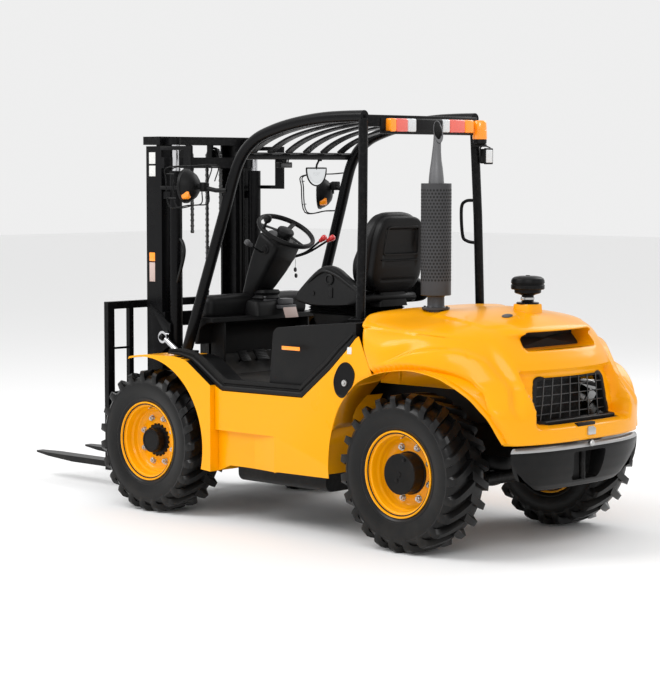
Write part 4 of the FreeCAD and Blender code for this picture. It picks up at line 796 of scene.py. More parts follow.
# how far each feature stands in or out, and the (start, width) or (end, width) of the runs that bound it
creaseLooks = {
    "flare": 0.034, "flareFrom": (-0.17, 0.22), "flareTo": (0.60, 0.10), "flareAcross": (0.35, 0.12),
    "ridge": 0.010, "ridgeTo": (0.36, 0.25), "ridgeAcross": 0.3, "lip": 0.020, "lipWidth": 0.036,
    "lipAcross": 0.42, "lipTop": 0.93, "tailFrom": 0.2, "recessAcross": (0.375, 0.030),
    "brow": 0.044, "browFrom": (1.040, 0.026), "browTo": (1.13, 0.05), "browAcross": (0.36, 0.10),
    "panel": 0.006, "panelFrom": (-0.10, 0.014), "panelTo": (0.40, 0.10), "panelUp": (1.04, 0.03),
    "drop": 0.014, "dropTo": (0.12, 0.30), "dropUp": (1.09, 0.06),
    "mound": 0.020, "moundAt": (0.25, -0.15), "moundSize": 0.016, "moundUp": (1.09, 0.04),
    "insetShare": 0.62, "insetBack": 0.9,
}


def lipDistance(y, z):
    gap = (y[..., None] - archLip[::3, 0]) ** 2 + (z[..., None] - archLip[::3, 1]) ** 2
    return np.sqrt(gap.min(-1))


# how far the sides stand in from the plan: flares, the ridge along the shoulder and the lip along the arch
def sideInset(y, z, ax):
    look = creaseLooks
    crest = np.interp(y, flareCrest[:, 0], flareCrest[:, 1])
    swell = rise(y, *look["flareFrom"]) * fall(y, *look["flareTo"]) * rise(ax, *look["flareAcross"])
    inset = look["flare"] * swell * rise(z, crest - 0.006, 0.018) * fall(z, crest + 0.15, 0.13)
    line = np.interp(y, shoulderLine[:, 0], shoulderLine[:, 1])
    ridge = look["ridge"] * fall(y, *look["ridgeTo"]) * (ax > look["ridgeAcross"])
    inset += ridge * fall(z, line + 0.003, 0.008) * rise(z, line - 0.12, 0.11)
    inset -= ridge * 0.5 * rise(z, line, 0.006) * fall(z, line + 0.034, 0.012)
    lip = look["lip"] * fall(lipDistance(y, z), 0.004 + look["lipWidth"], look["lipWidth"])
    return inset + lip * (ax > look["lipAcross"]) * (z < look["lipTop"])


def hoodSurface():
    look = creaseLooks
    x, y, z = hoodGrid()
    ax = np.abs(x)
    inset = sideInset(y, z, ax)
    x, y = x * (1 - inset / look["insetShare"]), y - inset * np.clip(y, 0, 1) * look["insetBack"]
    # tail: recess round the grille, brow over the scoop
    tail = y > look["tailFrom"]
    y = y - fall(ax, *look["recessAcross"]) * tail * np.interp(z, recessDepth[:, 0], recessDepth[:, 1])
    brow = rise(z, *look["browFrom"]) * fall(z, *look["browTo"]) * fall(ax, *look["browAcross"])
    y = y + look["brow"] * brow * tail
    # top: raised panel open towards the tail, a fall to the front, a mound under the stack
    edge = np.interp(y, panelEdge[:, 0], panelEdge[:, 1])
    raised = fall(ax, edge, 0.010) * rise(z, *look["panelUp"])
    z = z + look["panel"] * raised * rise(y, *look["panelFrom"]) * fall(y, *look["panelTo"])
    z = z - look["drop"] * rise(z, *look["dropUp"]) * fall(y, *look["dropTo"])
    away = (ax - look["moundAt"][0]) ** 2 + (y - look["moundAt"][1]) ** 2
    z = z + look["mound"] * np.exp(-away / look["moundSize"]) * rise(z, *look["moundUp"])
    # the last row closes the top along its middle line
    grid = np.stack([x, y, z], -1)
    return np.concatenate([grid, grid[:, -1:] * [0, 1, 1]], 1)


# depth of the tail's skin behind each point of an x-z line, from the four nearest grid points
def surfaceDepth(grid, line):
    tail = grid.reshape(-1, 3)
    tail = tail[tail[:, 1] > creaseLooks["tailFrom"]]
    gap = ((tail[None, :, [0, 2]] - line[:, None]) ** 2).sum(-1)
    near = np.argsort(gap, axis=1)[:, :4]
    weight = 1 / (np.take_along_axis(gap, near, 1) + 1e-8)
    return (tail[near, 1] * weight).sum(1) / weight.sum(1)


grilleLooks = {"section": [(-0.016, 0.003), (-0.012, 0.008), (0.004, 0.006), (0.008, 0.001), (0.008, -0.004),
                           (-0.002, -0.006), (-0.002, -0.035), (-0.016, -0.035)],
               "wire": 0.0028, "behind": 0.012, "rows": (0.675, 0.84, 0.045), "rowBulge": 0.002,
               "columns": (-0.215, 0.22, 0.0717),
               "upright": ((1.07, 0.005, 0.645), (1.0, 0.006, 0.745), (0.95, 0.005, 0.848)),
               "line": (0.262, 0.306, 0.636, 0.853, 0.032), "edge": 0.008}
scoopLooks = {"line": (0.262, 0.286, 0.983, 1.072, 0.036),
              "rows": [(1.0, 0.0), (0.99, -0.02), (0.97, -0.06), (0.95, -0.095)]}
hoodSkin = hoodSurface()
grilleLine, scoopLine = windowLine(*grilleLooks["line"]), windowLine(*scoopLooks["line"])


def makeHood():
    points, faces = holed(*sheet(hoodSkin), grilleLine)
    shell = meshPiece("hood_skin", [holed(points, faces, scoopLine)], "yellow", "engine_hood", 50)
    thicken(shell, hoodLooks["wall"], -1)
    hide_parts("hood")
    archLiners("hood_arch_liners", archLip[archLip[:, 0] > -0.21], "engine_hood")
    archLiners("panel_arch_liners", archLip[archLip[:, 0] < -0.20], "chassis")


# rows: how far in from the skin and how far out from the arch's lip; in front of the axle the skin is a line
linerLooks = {"centre": (0.07, 0.42), "skin": 0.72, "power": 2.9, "reach": 0.63, "inner": 0.43, "wall": 0.003,
              "rows": [(0.0, 0.0), (0.004, 0.0005), (0.03, 0.004), (0.03, 0.012)], "innerOut": 0.03,
              "foot": 0.552, "wallTop": 0.80, "wallFoot": 0.788, "under": 0.001, "most": 0.69,
              "frontSkin": ((-0.5, 0.655), (0.0, 0.69))}


# inside of each arch: the lip carried inwards, a little larger than the opening, and a wall above the tyre
def archLiners(name, lip, body):
    look = linerLooks
    y, z = lip.T
    out = lip - look["centre"]
    out /= np.linalg.norm(out, axis=1, keepdims=True)
    tail = look["skin"] * (1 - np.clip(y / look["reach"], 0, 0.999) ** look["power"]) ** (1 / look["power"])
    flank = np.interp(y, *zip(*look["frontSkin"]))
    skin = np.minimum(np.where(y > 0, tail, flank), look["most"]) - look["under"]
    rows = [(np.maximum(skin - inset, look["inner"]), far) for inset, far in look["rows"]]
    rows.append((0 * skin + look["inner"], look["innerOut"]))
    strip = np.stack([np.stack([x, y + out[:, 0] * far, z + out[:, 1] * far], -1) for x, far in rows], 1)
    strip = strip[strip[:, 0, 2] > look["foot"]]
    top = strip[strip[:, -1, 2] > look["wallTop"]][:, -1]
    wall = np.stack([top, top * [1, 1, 0] + [0, 0, look["wallFoot"]]], 1)
    liner = meshPiece(name, bothSides([sheet(strip), sheet(wall)]), "yellow", body, 40)
    thicken(liner, look["wall"], 0)


def makeGrille():
    look = grilleLooks
    depth = surfaceDepth(hoodSkin, grilleLine)
    frameDepth = lambda x, z: np.broadcast_to(depth[:, None], x.shape)
    meshPiece("grille_frame", [framed(grilleLine, look["section"], frameDepth)], "plastic", "engine_hood", 30)
    y = float(depth.mean()) - look["behind"]
    wires = []
    for z in np.arange(*look["rows"]):
        half = np.interp(z, look["line"][2:4], look["line"][1::-1]) - look["edge"]
        wires.append(tube([(-half, y, z), (0, y + look["rowBulge"], z), (half, y, z)], look["wire"], 8))
    for x in np.arange(*look["columns"]):
        line = [(x * share, y + back, z) for share, back, z in look["upright"]]
        wires.append(tube(line, look["wire"], 8, (0, 1, 0)))
    mesh = meshPiece("grille_wires", wires, "steel", "engine_hood", 60)
    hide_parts("hood_grille")


# scoop: the opening's line carried forward, closed by a near-black back that paints the shade inside the
# opening
def makeScoop():
    sleeve, back = pocketParts(scoopLine, surfaceDepth(hoodSkin, scoopLine), scoopLooks["rows"])
    meshPiece("scoop_sleeve", [sleeve], "yellow", "engine_hood", 40)
    meshPiece("scoop_back", [back], "paintedShade", "engine_hood")


latchLooks = {"blocks": [(-0.030, 0.600, 0.572, 0.030, 0.641, 0.606, 0.004),
                         (-0.024, 0.600, 0.602, 0.024, 0.636, 0.614, 0.004)],
              "recess": (-0.040, 0.545, 0.606, 0.100, 0.6285, 0.6345, 0.004)}


def makeLatch():
    meshPiece("hood_latch", [block(*values) for values in latchLooks["blocks"]], "zinc", "engine_hood", 30)
    meshPiece("latch_recess", [block(*latchLooks["recess"])], "plastic", "engine_hood", 30)


makeHood()
makeGrille()
makeScoop()
makeLatch()
print("hood made")

# counterweight: superellipse plan behind the axle; levels are (height, inset) of its side, which leans in
# near the ground, and bevel is the same for the bright band that rises and steps in along the top edge
castLooks = {
    "low": 0.315, "front": 0.541, "half": 0.72, "reach": 0.63, "power": 2.9, "lean": 0.6, "columns": 120,
    "rows": 40,
    "levels": [(0.315, 0.080), (0.322, 0.062), (0.345, 0.040), (0.385, 0.020), (0.44, 0.006), (0.50, 0.0),
               (0.514, 0.001), (0.5155, 0.004)],
    "bevel": [(0.515, 0.0005), (0.519, 0.0), (0.528, 0.006), (0.536, 0.016), (0.537, 0.022), (0.537, 0.060)],
    "cornerLift": 0.06, "cornerX": 0.506, "cornerRun": 0.35, "liftRun": 0.2,
    "pocket": (0.130, 0.105, 0.353, 0.497, 0.022), "pocketRows": [(1.0, 0.0), (0.985, -0.004), (0.98, -0.10)],
    "pin": [(0.50, 0.0), (0.50, 0.0155), (0.350, 0.0155), (0.350, 0.0)], "pinY": 0.580,
    "pinHead": [(0.6, 0.0), (0.634, 0.012), (0.640, 0.016), (0.646, 0.012), (0.648, 0.0)], "pinHeadZ": 0.531,
}


def castPlan():
    look = castLooks
    fine = np.linspace(0, pi, 4000)
    c, s = np.cos(fine), np.clip(np.sin(fine), 0, 1)
    x = np.sign(c) * look["half"] * np.abs(c) ** (2 / look["power"])
    y = look["reach"] * s ** (2 / look["power"])
    x, y = x[y > look["front"]], y[y > look["front"]]
    run = runLength(x, y)
    at = np.linspace(0, run[-1], look["columns"])
    return np.interp(at, run, x), np.interp(at, run, y)


def makeCounterweight():
    look, front = castLooks, castLooks["front"]
    x, y = castPlan()
    levels = np.array(look["levels"])
    fine, at = np.linspace(0, 1, look["rows"]), np.linspace(0, 1, len(levels))
    height, inset = (np.interp(fine, at, column)[:, None] for column in levels.T)
    lift = look["cornerLift"] * fall(np.clip(1 - np.abs(x) / look["cornerX"], 0, 1), look["cornerRun"],
                                     look["cornerRun"])
    grid = np.stack([x * (1 - inset / look["lean"]), np.maximum(y - inset, front),
                     height + lift * (1 - (height - look["low"]) / look["liftRun"])], -1)
    low, high = (grid[i] * [1, 0, 1] + [0, front, 0] for i in (0, -1))
    pocket = windowLine(*look["pocket"])
    parts = [holed(*sheet(grid), pocket)]
    parts += [sheet(np.stack(pair)) for pair in ((high, low), (low, grid[0]), (grid[-1], high))]
    parts += pocketParts(pocket, surfaceDepth(grid, pocket), look["pocketRows"])
    casting = meshPiece("counterweight_casting", parts, "cast", "chassis", 40)
    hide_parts("counterweight")
    z, step = np.array(look["bevel"]).T[..., None]
    band = np.stack([x * (1 - step / look["lean"]), np.maximum(y - step, front), 0 * x + z], -1)
    meshPiece("counterweight_bevel", [sheet(band)], "bright", "chassis", 50)
    meshPiece("tow_pin", [turned(look["pin"], (0, look["pinY"], 0), "z", 24)], "black", "chassis", 40)
    head = turned(look["pinHead"], (0, 0, look["pinHeadZ"]), "y", 20)
    meshPiece("tow_pin_head", [head], "zinc", "chassis", 40)


makeCounterweight()
print("counterweight made")

# places on the leaning steering column, given by their distance down its axis from the wheel
columnLean = math.radians(31)
wheelCentre = np.array([0, -1.455, 1.515])
columnAxis = np.array([0, math.sin(columnLean), math.cos(columnLean)])
columnBack = np.array([0, math.cos(columnLean), -math.sin(columnLean)])


# a point given by its distance down the column, its x and how far it stands behind the axis
def onColumn(down, x=0.0, back=0.0):
    return wheelCentre - down * columnAxis + [x, 0, 0] + back * columnBack


# sections: (down, half x, half across, corner, middle behind the axis); bosses: (x, down, behind, radius)
columnLooks = {
    "sections": [(0.052, 0.070, 0.052, 0.020, -0.020), (0.058, 0.088, 0.068, 0.024, -0.018),
                 (0.066, 0.096, 0.078, 0.026, -0.017), (0.080, 0.099, 0.082, 0.026, -0.016),
                 (0.150, 0.098, 0.081, 0.026, -0.015), (0.155, 0.0965, 0.0795, 0.026, -0.015),
                 (0.230, 0.092, 0.072, 0.025, -0.017), (0.330, 0.080, 0.060, 0.024, -0.022),
                 (0.400, 0.068, 0.050, 0.022, -0.026), (0.440, 0.060, 0.046, 0.020, -0.028)],
    "collar": [(0, 0.028), (0.004, 0.036), (0.030, 0.038), (0.034, 0.034), (0.036, 0.0)],
    "foot": [(1.052, 0.132, 0.058, 0.02, -1.600), (1.100, 0.126, 0.054, 0.02, -1.604),
             (1.128, 0.116, 0.046, 0.02, -1.608), (1.136, 0.100, 0.034, 0.02, -1.610)],
    "boot": [(1.130, 0.066, 0.050, 0.03, -1.615), (1.145, 0.074, 0.056, 0.03, -1.612),
             (1.16, 0.062, 0.047, 0.03, -1.606), (1.175, 0.070, 0.053, 0.03, -1.602),
             (1.19, 0.058, 0.044, 0.03, -1.596)],
    "bosses": ((0.098, 0.115, 0.0, 0.026), (-0.098, 0.13, 0.01, 0.016)),
    "gauge": [(0, 0.0), (0, 0.072), (0.003, 0.076), (0.005, 0.070), (0.0055, 0)],
    "gaugeAt": (0.0545, 0, -0.018),
    "boxes": [(-0.035, -1.625, 1.128, 0.060, -1.560, 1.158, 0.006),
              (-0.125, -1.585, 1.108, -0.040, -1.520, 1.140, 0.006),
              (-0.128, -1.560, 1.086, -0.020, -1.500, 1.106, 0.004)],
    "label": (-0.050, -0.002, -0.031, 0.050, 0.002, 0.031, 0.0015), "labelLean": 0.35,
    "labelAt": (-0.074, -1.492, 1.066),
    "keyRing": (0.14, -0.112, 0.02), "keyChain": [(0, 0, 0), (-0.006, 0.01, -0.03), (-0.004, 0.012, -0.075)],
    "key": (0.005, 0.011, 0.013), "keys": ((-0.004, 0.012, -0.085), (-0.006, 0.016, -0.118)),
}


def makeColumn():
    look, lean = columnLooks, turnX(-columnLean)
    rings = []
    for down, halfX, halfY, corner, middle in look["sections"]:
        flat = roundedRect(halfX, halfY, corner, 5)
        rings.append(onColumn(down) + flat[:, :1] * [1, 0, 0] + (flat[:, 1:] + middle) * columnBack)
    parts = [capped(np.stack(rings)),
             placed(turned(look["collar"], (0, 0, 0), "z", 32), lean, onColumn(0.060)),
             stacked(look["foot"]), stacked(look["boot"])]
    for x, down, behind, r in look["bosses"]:  # direction lever and key switch
        profile = [(-0.004, r), (0.004, r), (0.007, r * 0.88), (0.007, r * 0.6), (0.011, r * 0.55),
                   (0.011, 0)]
        parts.append(turned(np.array(profile) * [np.sign(x), 1], onColumn(down, x, behind), "x", 24))
    shell = meshPiece("column_cover", parts, "plastic", "chassis", 38)
    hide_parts("steering_column")
    gauge = placed(turned(look["gauge"], (0, 0, 0), "z", 40), lean, onColumn(*look["gaugeAt"]))
    meshPiece("dash_boxes", [gauge] + [block(*values) for values in look["boxes"]], "pale", "chassis", 35)
    plate = placed(block(*look["label"]), turnX(look["labelLean"]), look["labelAt"])
    meshPiece("dash_label", [plate], "label", "chassis", 35)
    ring = onColumn(*look["keyRing"])
    chain = tube(smoothPath(ring + look["keyChain"], 6), 0.0012, 6, (0, 1, 0))
    keys = [capped(pillow(look["key"], (2.2, 2.2), 16, 10) + ring + at) for at in look["keys"]]
    meshPiece("key_bunch", [chain] + keys, "steel", "chassis", 50)


wheelRing = {
    "radius": 0.158, "thick": 0.0125, "taller": 1.1, "spokes": (90, 210, 330),
    "hub": [(-0.026, 0), (-0.026, 0.040), (-0.016, 0.046), (0.000, 0.048), (0.008, 0.044), (0.013, 0.030),
            (0.015, 0.0)],
    "spokeFrom": 0.028, "spokeLength": 0.126, "spokeHalf": 0.020, "waist": 0.0288, "spokeThick": 0.0045,
    "dish": 0.010,
    "knobAt": -8, "knob": [(0.010, 0.0), (0.010, 0.012), (0.014, 0.012), (0.018, 0.0075), (0.046, 0.0075),
                           (0.050, 0.015), (0.058, 0.020), (0.070, 0.0225), (0.082, 0.0205), (0.090, 0.014),
                           (0.093, 0.0)],
}


# steering wheel: a ring, a soft hub pad and three flat spokes that narrow in the middle by waist t (1 - t)
def makeSteeringWheel():
    look = wheelRing
    a = np.linspace(0, 2 * pi, 96, endpoint=False)[:, None]
    b = np.linspace(0, 2 * pi, 16, endpoint=False)
    out = look["radius"] + look["thick"] * np.cos(b)
    height = look["taller"] * look["thick"] * np.sin(b) + 0 * a
    ring = np.stack([out * np.cos(a), out * np.sin(a), height], -1)
    t = np.linspace(0, 1, 8)[:, None]
    q = np.linspace(0, 2 * pi, 12, endpoint=False)
    wide = look["spokeHalf"] - look["waist"] * t * (1 - t)
    spoke = capped(np.stack([look["spokeFrom"] + look["spokeLength"] * t + 0 * q, wide * np.cos(q),
                             look["spokeThick"] * np.sin(q) - look["dish"] * (1 - t) ** 2], -1))
    at = math.radians(look["knobAt"])
    knob = turned(look["knob"], (look["radius"] * math.cos(at), look["radius"] * math.sin(at), 0), "z", 28)
    parts = [sheet(ring, True, True), turned(look["hub"], (0, 0, 0), "z", 40)]
    parts += [placed(spoke, turnZ(math.radians(angle))) for angle in look["spokes"]] + [knob]
    parts = [placed(part, turnX(-columnLean), wheelCentre) for part in parts]
    piece = meshPiece("steering_wheel_moulded", parts, "plastic", "steering_wheel_body", 42)
    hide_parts("steering_wheel")


controlLooks = {
    "grip": [(-0.020, 0.0), (-0.020, 0.008), (-0.016, 0.011), (-0.002, 0.012), (0.0, 0.0125), (0.002, 0.014),
             (0.010, 0.0165), (0.020, 0.0165), (0.028, 0.0135), (0.031, 0.007), (0.0315, 0.0)],
    "levers": ((-0.150, 0.0), (-0.190, 0.022)), "rod": 0.006,  # x of the grip and how far back it stands
    "direction": [(0.104, -1.531, 1.403), (0.120, -1.532, 1.405), (0.155, -1.540, 1.425),
                  (0.186, -1.550, 1.448)],
    "pedals": ((0.150, 0.070), (0.020, 0.090), (-0.110, 0.060)),  # x and width
    "pedalFoot": (-1.670, 0.798), "pedalReach": 0.044, "toe": math.atan2(0.106, 0.084),
}


# lever: a bent rod with a turned grip on its end, looking along the last part of the rod
def lever(path, radius):
    path = smoothPath(path, 8)
    along = path[-1] - path[-2]
    along /= np.linalg.norm(along)
    side = np.cross(along, [0, 0, 1.0])
    side /= np.linalg.norm(side)
    axes = np.stack([side, np.cross(side, along), along], -1)
    grip = turned(controlLooks["grip"], (0, 0, 0), "z", 24)
    return tube(path, radius, 10), placed(grip, axes, path[-1])


# pedal pad with its ribs, lying in the x-y plane
def pedalPad(width):
    pad = block(-width / 2, -0.036, 0, width / 2, 0.036, 0.010, 0.004)
    return [pad] + [block(-width / 2 + 0.006, y - 0.003, 0.008, width / 2 - 0.006, y + 0.003, 0.013, 0.002)
                    for y in np.arange(-0.028, 0.03, 0.0112)]


def makeControls():
    look = controlLooks
    made = [lever([(-0.104, -1.520 + back, 1.372), (-0.124, -1.512 + back, 1.374),
                   (-0.148, -1.44 + back, 1.400), (x - 0.006, -1.330 + back, 1.470)],
                  look["rod"]) for x, back in look["levers"]]
    made.append(lever(look["direction"], 0.005))
    rods, grips = zip(*made)
    piece = meshPiece("lever_rods", rods, "black", "chassis", 45)
    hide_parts("operator_controls")
    meshPiece("lever_grips_red", grips[:2], "knob", "chassis", 45)
    meshPiece("direction_grip", grips[2:], "pale", "chassis", 45)
    pads, toe = [], look["toe"]
    for x, width in look["pedals"]:
        root = np.array([x, *look["pedalFoot"]])
        top = root + np.array([0, math.sin(toe), math.cos(toe)]) * look["pedalReach"]
        pads += [placed(part, turnX(-toe), top) for part in pedalPad(width)]
        pads.append(tube([root, top], 0.007, 10, (1, 0, 0)))
    meshPiece("pedals", pads, "black", "chassis", 35)


# seat: crowned closed pads, a moulded back shell with a pocket, two hip restraints and a bellows
seatLooks = {
    "lean": math.radians(9), "backFoot": np.array([0, -0.702, 1.232]), "seamWidth": 0.007,
    "lineWidth": 0.006, "lineDepth": 0.005,
    "cushion": {"half": (0.222, 0.176, 0.052), "powers": (3.4, 4.2), "at": (0, -0.941, 1.200), "seam": 0.138,
                "seamDepth": 0.007, "dish": 0.016, "dishSize": 0.15, "lines": (-0.05, 0.04),
                "frontRise": 0.012, "frontTo": (-0.10, 0.06), "topFrom": (-0.006, 0.03)},
    "back": {"half": (0.213, 0.050, 0.212), "powers": (3.6, 4.0), "at": (-0.018, 0.190), "seam": 0.125,
             "seamDepth": 0.006, "dish": 0.018, "dishSize": 0.12, "lines": (-0.07, 0.03, 0.12),
             "wings": 0.030, "wingsFrom": (0.10, 0.08), "wingsTo": (0.05, 0.12), "narrow": 0.16,
             "narrowFrom": (0.02, 0.20)},
    "shell": {"half": (0.192, 0.034, 0.200), "powers": (5.0, 4.6), "at": (0.030, 0.188), "narrowTop": 0.15,
              "topFrom": (0.02, 0.20), "narrowFoot": 0.10, "footTo": (-0.10, 0.10), "pocket": 0.020,
              "pocketAcross": (0.132, 0.012), "pocketFrom": (0.010, 0.012), "pocketTo": (0.142, 0.012),
              "groove": 0.004, "grooves": ((-0.022, 0.006, 0.14), (-0.130, 0.005, 0.13)),
              "rim": (0.118, 0.135, 0.192, 0.338, 0.02), "rimY": 0.0625,
              "rimSection": [(-0.006, 0.0), (-0.004, 0.004), (0.003, 0.004), (0.005, 0.0)],
              "lip": [(-0.145, 0.0645, 0.164), (-0.05, 0.066, 0.161), (0.05, 0.066, 0.161),
                      (0.145, 0.0645, 0.164)],
              "roll": [(-0.185, -0.690, 1.180), (-0.165, -0.672, 1.186), (0.165, -0.672, 1.186),
                       (0.185, -0.690, 1.180)],
              "stem": [(1.140, 0.11, 0.05, 0.02, -0.70), (1.20, 0.10, 0.035, 0.02, -0.69),
                       (1.26, 0.08, 0.02, 0.015, -0.685)]},
    "bellows": {"low": 1.090, "high": 1.142, "folds": 9, "fold": 0.010, "half": (0.176, 0.186),
                "middle": -0.925,
                "pan": [(1.146, 0.205, 0.195, 0.03, -0.930), (1.160, 0.208, 0.198, 0.03, -0.930)],
                "foot": [(1.030, 0.150, 0.180, 0.03, -0.920), (1.088, 0.160, 0.186, 0.03, -0.923),
                         (1.094, 0.150, 0.176, 0.03, -0.923)]},
    "restraint": {"line": [(-1.129, 1.180), (-1.035, 1.272), (-0.952, 1.333), (-0.893, 1.352),
                           (-0.820, 1.337), (-0.738, 1.287), (-0.662, 1.246), (-0.648, 1.180),
                           (-0.723, 1.150), (-0.950, 1.139), (-1.083, 1.150)],
                  "rows": [(0.222, 0.90), (0.224, 0.965), (0.230, 1.0), (0.256, 1.0), (0.266, 0.975),
                           (0.271, 0.93), (0.272, 0.80), (0.270, 0.60)],
                  "ridge": [(0.266, -1.020, 1.262), (0.272, -0.950, 1.308), (0.274, -0.890, 1.325),
                            (0.272, -0.810, 1.303), (0.268, -0.735, 1.262), (0.262, -0.670, 1.222)],
                  "knob": [(0.268, 0.030), (0.276, 0.030), (0.279, 0.026), (0.279, 0.019), (0.274, 0.017),
                           (0.274, 0.0)],
                  "knobAt": (0, -0.866, 1.282), "cup": [(0.270, 0.012), (0.2745, 0.012), (0.2745, 0.0)],
                  "cupAt": (0, -0.985, 1.205),
                  "switch": (0.268, -0.872, 1.186, 0.2755, -0.842, 1.240, 0.004)},
}


def groove(x, place, depth, width):
    return depth * np.exp(-((x - place) / width) ** 2)


# sewn channels across a pad, between its two seams
def sewnLines(along, across, part):
    look = seatLooks
    return sum(groove(along, line, look["lineDepth"], look["lineWidth"]) for line in part["lines"]) * (
        np.abs(across) < part["seam"])


def makeCushion():
    look = seatLooks["cushion"]
    x, y, z = np.moveaxis(pillow(look["half"], look["powers"], 128, 64), -1, 0)
    top = rise(z, *look["topFrom"])
    middle = np.exp(-(x / look["dishSize"]) ** 4 - ((y - 0.02) / look["dishSize"]) ** 4)
    seam = groove(np.abs(x), look["seam"], look["seamDepth"], seatLooks["seamWidth"])
    z = z - top * (look["dish"] * middle + seam)
    z = z - top * sewnLines(y, x, look)
    z = z + top * look["frontRise"] * fall(y, *look["frontTo"])
    grid = np.stack([x, y, z], -1) + look["at"]
    cushion = meshPiece("cushion_padded", [capped(grid)], "vinyl", "chassis", 60)
    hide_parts("seat_cushion")


# points given in the backrest's own upright frame, leaned back about its foot
def leanedBack(x, y, z):
    return np.stack([x, y, z], -1) @ turnX(-seatLooks["lean"]).T + seatLooks["backFoot"]


def makeBackrest():
    look = seatLooks["back"]
    x, y, z = np.moveaxis(pillow(look["half"], look["powers"], 128, 84), -1, 0)
    ax, front = np.abs(x), fall(y, 0, 0.03)
    seam = groove(ax, look["seam"], look["seamDepth"], seatLooks["seamWidth"])
    y = y + front * (look["dish"] * np.exp(-(x / look["dishSize"]) ** 4) + seam + sewnLines(z, x, look))
    y = y - front * look["wings"] * rise(ax, *look["wingsFrom"]) * fall(z, *look["wingsTo"])
    x = x * (1 - look["narrow"] * rise(z, *look["narrowFrom"]))
    grid = leanedBack(x, y + look["at"][0], z + look["at"][1])
    backrest = meshPiece("backrest_padded", [capped(grid)], "vinyl", "chassis", 60)
    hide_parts("seat_backrest")


# back shell with its pocket and its grooves, each (height, width, half length), a rim round the pocket, a
# lip, the roll and the stem below
def makeBackShell():
    look = seatLooks["shell"]
    x, y, z = np.moveaxis(pillow(look["half"], look["powers"], 112, 64), -1, 0)
    narrower = look["narrowTop"] * rise(z, *look["topFrom"]) + look["narrowFoot"] * fall(z, *look["footTo"])
    x = x * (1 - narrower)
    ax, back = np.abs(x), rise(y, 0, 0.02)
    sunk = look["pocket"] * fall(ax, *look["pocketAcross"])
    sunk = sunk * rise(z, *look["pocketFrom"]) * fall(z, *look["pocketTo"])
    for height, width, half in look["grooves"]:
        sunk = sunk + groove(z, height, look["groove"], width) * (ax < half)
    y = y - back * sunk
    rim = framed(windowLine(*look["rim"]), look["rimSection"], lambda x, z: 0 * x + look["rimY"])
    lean, foot = turnX(-seatLooks["lean"]), seatLooks["backFoot"]
    upright = [placed(part, lean, foot) for part in (rim, tube(look["lip"], 0.004, 8))]
    parts = [capped(leanedBack(x, y + look["at"][0], z + look["at"][1]))] + upright
    meshPiece("backrest_shell", parts + [tube(look["roll"], 0.022, 14), stacked(look["stem"])], "plastic",
              "chassis", 42)


def makeBellows():
    look = seatLooks["bellows"]
    rows = []
    for i, z in enumerate(np.linspace(look["low"], look["high"], look["folds"])):
        out = look["fold"] * (i % 2)
        rows.append((z, look["half"][0] + out, look["half"][1] + out, 0.03, look["middle"]))
    base = meshPiece("seat_bellows", [stacked(rows + look["pan"], 5), stacked(look["foot"], 5)], "plastic",
                     "chassis", 30)
    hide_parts("seat_base")


def makeRestraints():
    look = seatLooks["restraint"]
    parts = [capped(bulged(closedPath(look["line"]), look["rows"])),
             tube(smoothPath(look["ridge"], 6), 0.010, 10, (1, 0, 0)),
             turned(look["knob"], look["knobAt"], "x", 28), turned(look["cup"], look["cupAt"], "x", 16),
             block(*look["switch"])]
    meshPiece("hip_restraints", bothSides(parts), "vinyl", "chassis", 40)


makeColumn()
makeSteeringWheel()
makeControls()
makeCushion()
makeBackrest()
makeBackShell()
makeBellows()
makeRestraints()
print("operator's place made")

# sill trim: a double ridge that follows the foot of the doorway
sillLooks = {
    "line": [(-1.690, 0.866), (-1.600, 0.862), (-1.505, 0.839), (-1.326, 0.726), (-1.273, 0.698),
             (-0.686, 0.704), (-0.490, 0.858), (-0.353, 0.985), (-0.318, 1.022)],
    "section": [(0.0, -0.026), (0.0, -0.002), (0.004, 0.002), (0.018, 0.003), (0.024, -0.001),
                (0.028, -0.010), (0.033, -0.011), (0.040, -0.004), (0.054, -0.006), (0.058, -0.012),
                (0.058, -0.026)],
    "lift": 0.003, "x": 0.660, "endRuns": (0.25, 0.12), "endSizes": (0.45, 0.7), "points": 60,
}


def makeSill():
    look = sillLooks
    line = np.array(look["line"]) + [0, look["lift"]]
    t = runLength(*line.T)
    s = np.unique(np.concatenate([np.linspace(0, t[-1], look["points"]), t]))
    base = np.stack([np.interp(s, t, column) for column in line.T], -1)
    along = np.gradient(base, axis=0)
    along /= np.linalg.norm(along, axis=1, keepdims=True)
    grow = np.interp(s, [0, look["endRuns"][0], t[-1] - look["endRuns"][1], t[-1]],
                     [look["endSizes"][0], 1.0, 1.0, look["endSizes"][1]])[:, None]
    out, proud = np.array(look["section"]).T
    grid = np.stack([look["x"] + proud + 0 * grow, base[:, :1] - along[:, 1:] * out * grow,
                     base[:, 1:] + along[:, :1] * out * grow], -1)
    piece = meshPiece("sill_mouldings", bothSides([capped(grid)]), "plastic", "chassis", 32)
    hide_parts("sill_trims")


